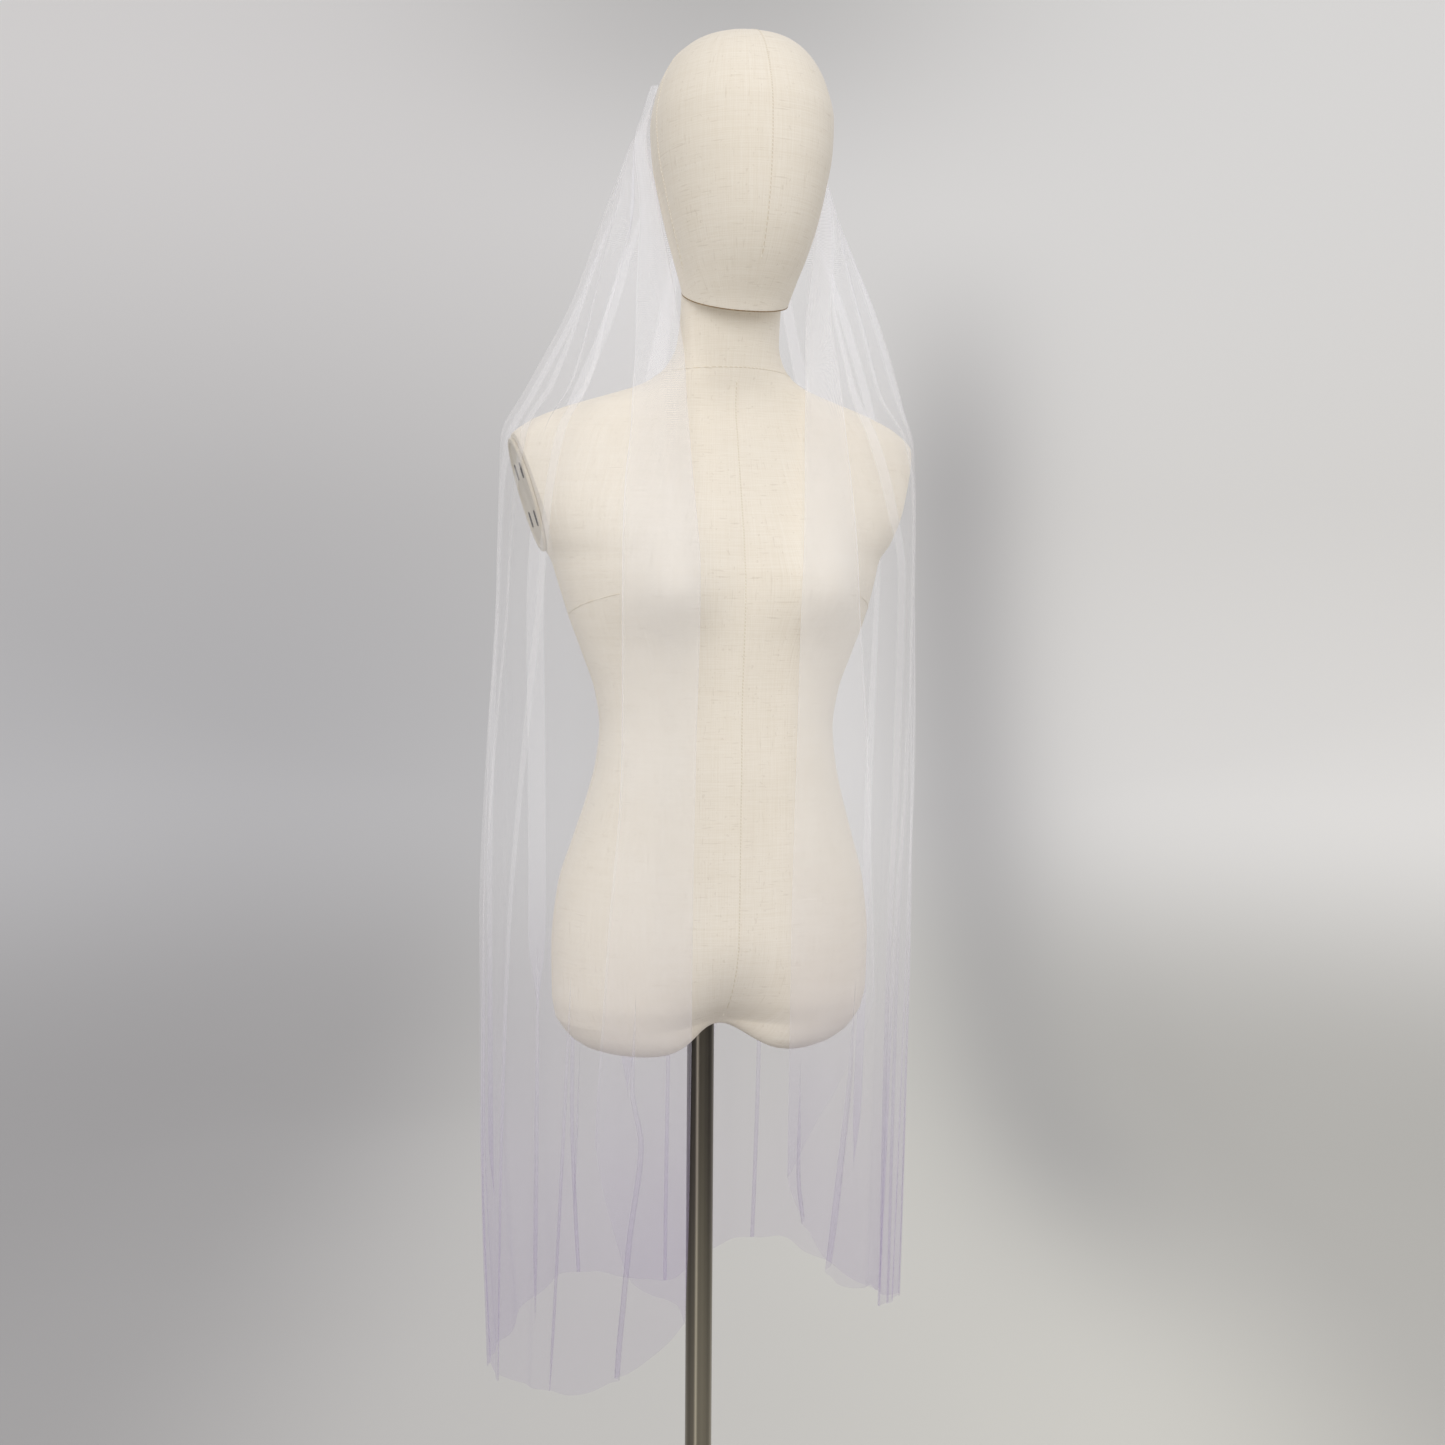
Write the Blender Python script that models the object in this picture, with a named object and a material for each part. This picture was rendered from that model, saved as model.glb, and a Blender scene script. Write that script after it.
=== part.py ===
"""A single-tier tulle bridal veil on a limbless, linen-covered dress form.

The form faces -Y and stands on a round base plate; the origin is the centre of the
plate's underside, on the pole's axis. Everything is in metres, +Z up. The form is a
torso with its neck, an egg-shaped head and two arm plates, lofted from horizontal
rings. The veil is one sheet, gathered on a band and comb at the back of the crown,
drawn forward over both shoulders, with both side edges turned outward in a flap.
"""

import bpy
import bmesh
import numpy as np
from math import cos, pi, radians, sin

# Driving dimensions of the stand
FORM_HEIGHT = 1.750
POLE_RADIUS = 0.01325
POLE_POINTS = 32
POLE_TOP = 0.898
BORE_CLEARANCE = 0.0003
BORE_TOP = 0.900
BASE_RADIUS = 0.170
BASE_THICKNESS = 0.008
BASE_EDGE_ROUND = 0.003
BASE_POINTS = 56
SEAT_GAP = 0.0003

# Driving dimensions of the form
RING_POINTS = 44
HEAD_POINTS = 36
SECTION_ROUNDNESS = 2.15
HIP_MIDDLE = (0.0, -0.030)
CROTCH_HEIGHT = 0.856
LEG_BOTTOM = 0.822
LEG_GAP_WIDTH = 0.038
LEG_HOLLOW_TOP = 0.955
LEG_HOLLOW_RISE = 0.095
LEG_HOLLOW_WIDTH = 0.042
LEG_HOLLOW_FRONT = 0.048
LEG_HOLLOW_BACK = 0.022
BUST_POINT = (0.078, 1.268)
BUST_DEPTH = 0.040
BUST_ACROSS = 0.050
BUST_BELOW = 0.0416
BUST_ABOVE = 0.065
NECK_JOINT = (-0.095, 1.530)
NECK_TILT = radians(20.0)
ARM_PLATE_CENTRE = (0.1745, -0.030, 1.352)
ARM_PLATE_LEAN = radians(17.0)
ARM_PLATE_HALF = (0.036, 0.054)
ARMHOLE_LOWEST = 1.23
ARM_PLATE_THICKNESS = 0.003
ARM_PLATE_POINTS = 28
ARM_PLATE_TAPER = 0.972
SLOT_COUNT = 4
SLOT_CENTRES = (0.021, 0.032)
SLOT_SIZE = (0.004, 0.009, 0.015)

# Rings that close the torso below, towards the middle of the hips: share of the hip's
# size, then share of the way from the hip down to the two leg ends
UNDERSIDE_RINGS = ((0.30, 1.0), (0.62, 1.0), (0.84, 0.97), (0.945, 0.72), (0.985, 0.38))

# Torso sections: height, half width, front, back
TORSO_SECTIONS = (
    (0.862, 0.1485, -0.118, 0.052),
    (0.885, 0.1540, -0.131, 0.058),
    (0.930, 0.1535, -0.138, 0.063),
    (0.985, 0.1480, -0.140, 0.062),
    (1.035, 0.1335, -0.1415, 0.052),
    (1.070, 0.1225, -0.142, 0.044),
    (1.105, 0.1140, -0.143, 0.039),
    (1.138, 0.1105, -0.143, 0.037),
    (1.170, 0.1150, -0.144, 0.037),
    (1.205, 0.1270, -0.147, 0.038),
    (1.240, 0.1400, -0.149, 0.041),
    (1.275, 0.1508, -0.148, 0.045),
    (1.295, 0.1572, -0.145, 0.047),
    (1.310, 0.1697, -0.143, 0.049),
    (1.345, 0.1930, -0.135, 0.051),
    (1.380, 0.1985, -0.126, 0.050),
    (1.403, 0.1935, -0.1205, 0.044),
    (1.418, 0.1760, -0.116, 0.034),
    (1.431, 0.1450, -0.114, 0.021),
    (1.441, 0.1120, -0.1145, 0.008),
    (1.449, 0.0850, -0.1165, -0.004),
    (1.458, 0.0660, -0.120, -0.015),
    (1.470, 0.0535, -0.124, -0.027),
    (1.487, 0.0465, -0.130, -0.038),
    (1.508, 0.0450, -0.1365, -0.0465),
    (1.560, 0.0450, -0.147, -0.056),
)
# Head sections: height, half width, front, back
HEAD_SECTIONS = (
    (1.490, 0.0380, -0.149, -0.062),
    (1.515, 0.0445, -0.165, -0.057),
    (1.535, 0.0495, -0.184, -0.053),
    (1.555, 0.0560, -0.2000, -0.0480),
    (1.580, 0.0635, -0.2125, -0.0410),
    (1.610, 0.0705, -0.2205, -0.0330),
    (1.645, 0.0770, -0.2240, -0.0275),
    (1.672, 0.0785, -0.2225, -0.0265),
    (1.700, 0.0735, -0.2130, -0.0310),
    (1.722, 0.0640, -0.1990, -0.0400),
    (1.738, 0.0490, -0.1800, -0.0560),
    (1.747, 0.0300, -0.1560, -0.0790),
)
HEAD_TOP = (-0.117, FORM_HEIGHT)

# Veil: the sheet
WALL = 0.0010
VEIL_TOP = 1.716
ROW_DROPS = (0.0, 0.009, 0.022, 0.046, 0.080, 0.121, 0.165, 0.205, 0.237, 0.264, 0.290, 0.324,
             0.374, 0.443, 0.530, 0.630, 0.730, 0.830, 0.920, 1.0)
FLAP_LEFT = 0.055
FLAP_RIGHT = 0.945
FOLD_ROUND = 0.0040
FOLD_ROUND_LEAST = 0.0025
FLAP_LIFT = 0.0060
GATHERS = 13
GATHER_DEPTH = 0.0012
GATHER_END = 1.600

# Veil: levels at which the section through the hanging cloth is given
LEVELS = (1.716, 1.690, 1.660, 1.600, 1.525, 1.450, 1.405, 1.355, 1.280, 1.120, 0.950, 0.750, 0.530)
# Veil: key lines of the section, from the left fold round the back to the right
# fold, as seen from the front. Each has its share of the sheet's width, then a point
# (across, to the back) in millimetres at each level.
KEY_LINES = {
    "left fold": (0.055, (-66.5, -80), (-74.5, -82), (-78, -92), (-73, -119), (-60, -127),
        (-51, -134), (-51, -147), (-52, -168), (-52, -193), (-56, -197), (-58, -197), (-58, -192),
        (-62, -182)),
    "left bust": (0.112, (-63, -71.8), (-73, -73), (-88, -80), (-92, -98), (-92, -106), (-97, -119),
        (-103, -138), (-110, -166), (-118, -198), (-123, -198), (-128, -192), (-136, -178),
        (-146, -155)),
    "left shoulder front": (0.184, (-57, -61.3), (-70, -63), (-89, -68), (-107, -82), (-119, -90),
        (-135, -101), (-159, -119), (-168, -130), (-174, -136), (-187, -130), (-198, -118), (-202, -98),
        (-203, -78)),
    "left shoulder tip": (0.246, (-49, -51.3), (-64, -52), (-85, -53), (-111, -56), (-138, -47),
        (-175, -34), (-197, -27), (-198, -28), (-198, -30), (-209, -32), (-217, -32), (-217, -32),
        (-210, -34)),
    "left shoulder back": (0.342, (-30, -37.3), (-43, -34.5), (-60, -31), (-83, -22), (-107, -6),
        (-138, 22), (-159, 38), (-168, 50), (-170, 62), (-168, 74), (-167, 80), (-167, 80), (-154, 74)),
    "centre back": (0.500, (0, -31.0), (0, -24.0), (0, -17), (0, -3), (0, 20), (0, 43), (0, 55), (0, 68),
        (0, 82), (0, 96), (0, 106), (0, 113), (0, 118)),
    "right shoulder back": (0.658, (30, -37.3), (43, -34.5), (60, -31), (84, -22), (109, -6), (141, 22),
        (161, 38), (170, 50), (170, 62), (165, 75), (162, 84), (158, 90), (150, 94)),
    "right shoulder tip": (0.754, (49, -51.3), (64, -52), (88, -52), (118, -53), (161, -42),
        (191, -29), (201, -27), (201, -29), (201, -30), (203, -32), (204, -32), (201, -33), (195, -35)),
    "right shoulder front": (0.818, (57, -61.3), (70, -63), (92, -67), (109, -74), (118, -86),
        (134, -100), (157, -117), (166, -121), (168, -120), (168, -112), (164, -100), (162, -90),
        (159, -82)),
    "right bust": (0.886, (63, -71.8), (73, -73), (88, -79), (100, -86), (98, -92), (98, -116),
        (103, -136), (108, -162), (112, -196), (108, -194), (106, -190), (107, -180), (111, -160)),
    "right fold": (0.945, (66.5, -80), (74.5, -82), (78, -86), (83, -83), (78, -76), (68, -106),
        (60, -130), (52, -157), (41, -189), (36, -192), (33, -191), (34, -184), (45, -176)),
}
# Veil: width of each turned-back flap at the same levels, in millimetres
FLAP_WIDTHS = {
    "left": (5, 6, 9, 16, 33, 45, 51, 60, 68, 64, 72, 80, 80),
    "right": (5, 6, 9, 15, 24, 30, 36, 40, 45, 58, 68, 73, 73),
}
# Veil: hem, as share of the width and height
HEM = (
    (0.000, 0.790), (0.004, 0.752), (0.012, 0.705), (0.021, 0.666), (0.034, 0.650), (0.050, 0.638),
    (0.055, 0.620), (0.068, 0.594), (0.090, 0.570), (0.112, 0.553), (0.150, 0.546), (0.200, 0.536),
    (0.246, 0.535), (0.300, 0.531), (0.345, 0.546), (0.395, 0.556), (0.450, 0.543), (0.490, 0.532),
    (0.560, 0.566), (0.610, 0.570), (0.650, 0.556), (0.720, 0.545), (0.760, 0.563), (0.818, 0.571),
    (0.845, 0.600), (0.870, 0.624), (0.905, 0.636), (0.925, 0.676), (0.945, 0.744), (0.962, 0.792),
    (0.980, 0.840), (0.996, 0.884), (1.000, 0.905),
)
# Veil: its larger folds. Share of the width, half width and depth in millimetres, the
# height where the fold has faded out above, and its drift across the sheet by the hem.
FOLDS = (
    (0.074, 9, 5, 1.60, 0.002), (0.094, 11, 7, 1.52, 0.004), (0.128, 13, 9, 1.66, 0.006),
    (0.148, 9, 7, 1.62, 0.004), (0.166, 10, 10, 1.66, 0.008), (0.186, 9, 10, 1.66, 0.010),
    (0.208, 10, 7, 1.60, 0.006), (0.228, 9, 8, 1.64, 0.004), (0.250, 12, 7, 1.62, 0.000),
    (0.278, 14, 12, 1.50, -0.004), (0.306, 12, 11, 1.58, -0.004), (0.334, 15, 15, 1.46, -0.006),
    (0.366, 16, 16, 1.56, 0.004), (0.400, 15, 14, 1.44, 0.002), (0.434, 17, 18, 1.58, -0.004),
    (0.468, 15, 13, 1.40, 0.002), (0.502, 17, 17, 1.56, 0.000), (0.538, 16, 14, 1.42, 0.004),
    (0.572, 17, 18, 1.58, -0.002), (0.606, 15, 13, 1.46, 0.002), (0.640, 16, 16, 1.55, -0.004),
    (0.672, 13, 12, 1.44, 0.002), (0.700, 13, 14, 1.58, 0.004), (0.726, 10, 10, 1.52, 0.004),
    (0.747, 9, 12, 1.62, 0.002), (0.768, 8, 10, 1.60, 0.002), (0.787, 8, 11, 1.64, 0.002),
    (0.806, 8, 10, 1.66, 0.000), (0.828, 10, 9, 1.66, -0.004), (0.856, 12, 6, 1.50, -0.006),
    (0.884, 12, 6, 1.40, -0.006), (0.914, 10, 5, 1.45, -0.004),
)
SHEET_WIDTH = 1.60
FOLD_FULLNESS = 0.85
FOLD_EASE = 0.30
FOLD_SHARP_ANGLE = 60.0
# Veil: how far the gathered cloth has opened out at a height, from the hem up
SPREAD = ((1.280, 1.0), (1.450, 0.72), (1.600, 0.34), (VEIL_TOP, 0.06))
# Veil: steps of its share where the wall turns over a fold, and the least step elsewhere
TURN_STEPS = (0.0, 0.0022, 0.0075, 0.016, 0.030)
FLAP_COLUMNS = 4
TURN_ZONE = 0.020
TURN_LEAST_STEP = 0.0015
LEAST_STEP = 0.0048
FLANK_STEP = 0.0065
FLANK_ZONE = (0.10, 0.88)

# Band and comb behind the crown
COMB_HALF_WIDTH = 0.058
COMB_TEETH = 14
COMB_ROWS = (0.0, 0.008, 0.017, 0.026, 0.036)
COMB_CLEARANCE = 0.0006
COMB_THICKNESS = 0.0014
BAND_HEIGHT = 0.009
BAND_GAP = 0.0005
BAND_THICKNESS = 0.0012
BAND_TOP = VEIL_TOP + 0.001
BAND_COLUMNS = 43
TOOTH_PITCH = 4
COMB_COLUMNS = TOOTH_PITCH * (COMB_TEETH - 1) + 2

LINEN = (0.80, 0.745, 0.645)
TULLE_WHITE = (0.86, 0.85, 0.90)
PLATE_WHITE = (0.62, 0.58, 0.50)
STEEL = (0.46, 0.44, 0.42)
COMB_CLEAR = (0.80, 0.80, 0.78)


def clear_scene():
    """Remove every object that the file opens with."""
    for item in list(bpy.data.objects):
        bpy.data.objects.remove(item, do_unlink=True)


def finish(name, colour, roughness, metallic=0.0):
    """A plain Principled material."""
    material = bpy.data.materials.new(name)
    material.use_nodes = True
    shader = material.node_tree.nodes["Principled BSDF"]
    shader.inputs["Base Color"].default_value = (*colour, 1.0)
    shader.inputs["Roughness"].default_value = roughness
    shader.inputs["Metallic"].default_value = metallic
    return material


def add_object(name, bm, material, sharp_angle=35.0):
    """Put a finished bmesh into the scene as one named, smooth-shaded object."""
    bmesh.ops.recalc_face_normals(bm, faces=bm.faces[:])
    mesh = bpy.data.meshes.new(name)
    bm.to_mesh(mesh)
    bm.free()
    mesh.shade_smooth()
    mesh.set_sharp_from_angle(angle=radians(sharp_angle))
    mesh.materials.append(material)
    item = bpy.data.objects.new(name, mesh)
    bpy.context.collection.objects.link(item)
    return item


def smooth_step(value):
    """Ease from 0 to 1."""
    t = np.clip(value, 0.0, 1.0)
    return t * t * (3.0 - 2.0 * t)


def monotone(x, xs, ys):
    """Smooth curve through (xs, ys) that never overshoots, at x. xs rises."""
    xs = np.asarray(xs, float)
    ys = np.asarray(ys, float)
    step = np.diff(xs)
    slope = np.diff(ys) / step
    tangent = np.zeros_like(ys)
    tangent[0], tangent[-1] = slope[0], slope[-1]
    same = slope[:-1] * slope[1:] > 0.0
    wa = 2.0 * step[1:] + step[:-1]
    wb = step[1:] + 2.0 * step[:-1]
    inner = np.zeros(len(slope) - 1)
    inner[same] = ((wa + wb)[same]) / (wa[same] / slope[:-1][same] + wb[same] / slope[1:][same])
    tangent[1:-1] = inner
    x = np.clip(np.asarray(x, float), xs[0], xs[-1])
    i = np.clip(np.searchsorted(xs, x, side="right") - 1, 0, len(step) - 1)
    h = step[i]
    t = (x - xs[i]) / h
    a = ys[i] * (1 + 2 * t) * (1 - t) ** 2 + tangent[i] * h * t * (1 - t) ** 2
    b = ys[i + 1] * t * t * (3 - 2 * t) + tangent[i + 1] * h * t * t * (t - 1)
    return a + b


def section(sections, height):
    """Half width, front and back of a lofted form at one height."""
    heights = [row[0] for row in sections]
    return [float(monotone(height, heights, [row[k] for row in sections])) for k in (1, 2, 3)]


def ring_point(half_width, front, back, angle):
    """A point of an oval section; angle 0 is the form's left side, +90 its back."""
    power = 2.0 / SECTION_ROUNDNESS
    c, s = cos(angle), sin(angle)
    middle = (front + back) / 2.0
    reach = (back - front) / 2.0
    x = half_width * np.sign(c) * abs(c) ** power
    y = middle + reach * np.sign(s) * abs(s) ** power
    return float(x), float(y)


def torso_point(height, angle):
    """A point of the torso's surface, with the bust and the hollow between the legs."""
    half_width, front, back = section(TORSO_SECTIONS, height)
    x, y = ring_point(half_width, front, back, angle)
    facing_front = max(0.0, -sin(angle))
    facing_back = max(0.0, sin(angle))
    across = (abs(x) - BUST_POINT[0]) / BUST_ACROSS
    rise = height - BUST_POINT[1]
    rise = rise / (BUST_BELOW if rise < 0.0 else BUST_ABOVE)
    y -= BUST_DEPTH * np.exp(-across * across - rise * rise) * facing_front ** 0.5
    low = max(0.0, (LEG_HOLLOW_TOP - height) / LEG_HOLLOW_RISE)
    middle = np.exp(-(x / LEG_HOLLOW_WIDTH) ** 2)
    y += LEG_HOLLOW_FRONT * low * low * middle * facing_front
    y -= LEG_HOLLOW_BACK * low * low * middle * facing_back
    return x, y, height


def underside(x):
    """Height of the torso's underside across the two leg ends."""
    return LEG_BOTTOM + (CROTCH_HEIGHT - LEG_BOTTOM) * np.exp(-(x / LEG_GAP_WIDTH) ** 2)


def add_ring(bm, points):
    """Vertices of one ring."""
    return [bm.verts.new(p) for p in points]


def skin(bm, rings):
    """Quads between consecutive rings."""
    for low, high in zip(rings, rings[1:]):
        count = len(low)
        for i in range(count):
            j = (i + 1) % count
            bm.faces.new((low[i], low[j], high[j], high[i]))


def cap_fan(bm, ring, point):
    """Close a ring with triangles to one point."""
    tip = bm.verts.new(point)
    for i in range(len(ring)):
        bm.faces.new((ring[i], ring[(i + 1) % len(ring)], tip))


def cut_flat(bm, point, normal, lowest=0.0):
    """Cut the faces above lowest by a plane, drop what lies beyond and close it flat."""
    faces = [face for face in bm.faces if min(v.co.z for v in face.verts) > lowest]
    edges = {edge for face in faces for edge in face.edges}
    corners = {corner for face in faces for corner in face.verts}
    geometry = [*corners, *edges, *faces]
    cut = bmesh.ops.bisect_plane(bm, geom=geometry, plane_co=point, plane_no=normal, clear_outer=True)
    edges = [item for item in cut["geom_cut"] if isinstance(item, bmesh.types.BMEdge)]
    bmesh.ops.edgenet_fill(bm, edges=edges)


def arm_plane(side):
    """Centre and outward normal of an armhole's plane."""
    x, y, z = ARM_PLATE_CENTRE
    return (side * x, y, z), (side * cos(ARM_PLATE_LEAN), 0.0, -sin(ARM_PLATE_LEAN))


def make_torso(material):
    """Torso with its neck: lofted, cut flat at both armholes and at the neck joint."""
    bm = bmesh.new()
    angles = [2.0 * pi * i / RING_POINTS for i in range(RING_POINTS)]
    floor_height = TORSO_SECTIONS[0][0]
    outline = [torso_point(floor_height, a) for a in angles]
    rings = []
    for scale, drop in UNDERSIDE_RINGS:
        points = []
        for x, y, _ in outline:
            px = HIP_MIDDLE[0] + (x - HIP_MIDDLE[0]) * scale
            py = HIP_MIDDLE[1] + (y - HIP_MIDDLE[1]) * scale
            points.append((px, py, floor_height + (float(underside(px)) - floor_height) * drop))
        rings.append(add_ring(bm, points))
    for height in [row[0] for row in TORSO_SECTIONS]:
        rings.append(add_ring(bm, [torso_point(height, a) for a in angles]))
    skin(bm, rings)
    cap_fan(bm, rings[0], (*HIP_MIDDLE, float(underside(0.0))))
    cap_fan(bm, rings[-1], (0.0, NECK_JOINT[0], TORSO_SECTIONS[-1][0]))
    cut_flat(bm, (0.0, *NECK_JOINT), (0.0, -sin(NECK_TILT), cos(NECK_TILT)))
    for side in (-1.0, 1.0):
        centre, normal = arm_plane(side)
        cut_flat(bm, centre, normal, ARMHOLE_LOWEST)
    torso = add_object("torso", bm, material)

    bore = bmesh.new()
    depth = 1.5 * (BORE_TOP - LEG_BOTTOM)
    radius = POLE_RADIUS + BORE_CLEARANCE
    bmesh.ops.create_cone(bore, cap_ends=True, segments=POLE_POINTS, radius1=radius, radius2=radius,
                          depth=depth)
    cutter = add_object("bore_cutter", bore, material)
    cutter.location = (0.0, 0.0, BORE_TOP - depth / 2.0)
    cutter.hide_render = True
    cutter.display_type = "WIRE"
    cut = torso.modifiers.new("pole_bore", "BOOLEAN")
    cut.operation = "DIFFERENCE"
    cut.object = cutter
    return torso


def head_point(height, angle, outward=0.0):
    """A point of the head's surface, moved out by a distance along its section."""
    half_width, front, back = section(HEAD_SECTIONS, height)
    return (*ring_point(half_width + outward, front - outward, back + outward, angle), height)


def make_head(material):
    """Egg-shaped head, cut flat where it sits on the neck."""
    bm = bmesh.new()
    angles = [2.0 * pi * i / HEAD_POINTS for i in range(HEAD_POINTS)]
    rings = [add_ring(bm, [head_point(row[0], a) for a in angles]) for row in HEAD_SECTIONS]
    skin(bm, rings)
    cap_fan(bm, rings[0], (0.0, NECK_JOINT[0], HEAD_SECTIONS[0][0]))
    cap_fan(bm, rings[-1], (0.0, *HEAD_TOP))
    y, z = NECK_JOINT
    seat = (0.0, y - SEAT_GAP * sin(NECK_TILT), z + SEAT_GAP * cos(NECK_TILT))
    cut_flat(bm, seat, (0.0, sin(NECK_TILT), -cos(NECK_TILT)))
    return add_object("head", bm, material)


def make_arm_plate(name, side, material):
    """Oval plate that closes an armhole, with four slots round its middle."""
    bm = bmesh.new()
    outer = []
    for i in range(ARM_PLATE_POINTS):
        a = 2.0 * pi * i / ARM_PLATE_POINTS
        outer.append((ARM_PLATE_HALF[0] * cos(a), ARM_PLATE_HALF[1] * sin(a)))
    low = [bm.verts.new((0.0, y, z)) for y, z in outer]
    taper = ARM_PLATE_TAPER
    high = [bm.verts.new((ARM_PLATE_THICKNESS, y * taper, z * taper)) for y, z in outer]
    skin(bm, [low, high])
    bm.faces.new(low)
    bm.faces.new(high)
    plate = add_object(name, bm, material)
    x, y, z = ARM_PLATE_CENTRE
    lean = ARM_PLATE_LEAN
    plate.location = (side * (x + SEAT_GAP * cos(lean)), y, z - SEAT_GAP * sin(lean))
    plate.rotation_euler = (0.0, lean if side > 0 else pi - lean, 0.0)

    slots = bmesh.new()
    for i in range(SLOT_COUNT):
        a = 2.0 * pi * (i + 0.5) / SLOT_COUNT
        place = (ARM_PLATE_THICKNESS, SLOT_CENTRES[0] * cos(a), SLOT_CENTRES[1] * sin(a))
        box = bmesh.ops.create_cube(slots, size=1.0)["verts"]
        bmesh.ops.scale(slots, vec=SLOT_SIZE, verts=box)
        bmesh.ops.translate(slots, vec=place, verts=box)
    cutter = add_object(name + "_cutter", slots, material)
    cutter.parent = plate
    cutter.hide_render = True
    cutter.display_type = "WIRE"
    cut = plate.modifiers.new("slots", "BOOLEAN")
    cut.operation = "DIFFERENCE"
    cut.object = cutter
    return plate


def make_pole(material):
    """Round pole from the base plate up into the torso's bore."""
    bm = bmesh.new()
    length = POLE_TOP - BASE_THICKNESS - SEAT_GAP
    bmesh.ops.create_cone(bm, cap_ends=True, segments=POLE_POINTS, radius1=POLE_RADIUS,
                          radius2=POLE_RADIUS, depth=length)
    pole = add_object("pole", bm, material)
    pole.location = (0.0, 0.0, BASE_THICKNESS + SEAT_GAP + length / 2.0)
    return pole


def make_base(material):
    """Round steel base plate with an eased upper edge."""
    bm = bmesh.new()
    angles = [2.0 * pi * i / BASE_POINTS for i in range(BASE_POINTS)]
    rings = []
    profile = [(BASE_RADIUS, 0.0)]
    for step in range(4):
        a = pi / 2.0 * step / 3.0
        inset = BASE_EDGE_ROUND * (1.0 - cos(a))
        profile.append((BASE_RADIUS - inset, BASE_THICKNESS - BASE_EDGE_ROUND * (1.0 - sin(a))))
    for radius, height in profile:
        rings.append(add_ring(bm, [(radius * cos(a), radius * sin(a), height) for a in angles]))
    skin(bm, rings)
    bm.faces.new(rings[0])
    bm.faces.new(rings[-1])
    return add_object("base_plate", bm, material)


def across_keys(share, shares, values):
    """Smooth curve through the key lines' values at a share of the sheet's width."""
    count = len(shares)
    i = np.clip(np.searchsorted(shares, share, side="right") - 1, 0, count - 2)
    gap = np.diff(shares)
    slope = np.diff(values, axis=0) / gap[:, None]
    tangent = np.empty_like(values)
    tangent[0], tangent[-1] = slope[0], slope[-1]
    weight = (gap[1:] / (gap[:-1] + gap[1:]))[:, None]
    tangent[1:-1] = slope[:-1] * weight + slope[1:] * (1.0 - weight)
    column = np.arange(values.shape[1])
    h = gap[i]
    t = (share - shares[i]) / h
    start, end = values[i, column], values[i + 1, column]
    a = start * (1 + 2 * t) * (1 - t) ** 2 + tangent[i, column] * h * t * (1 - t) ** 2
    b = end * t * t * (3 - 2 * t) + tangent[i + 1, column] * h * t * t * (t - 1)
    return a + b


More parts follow.
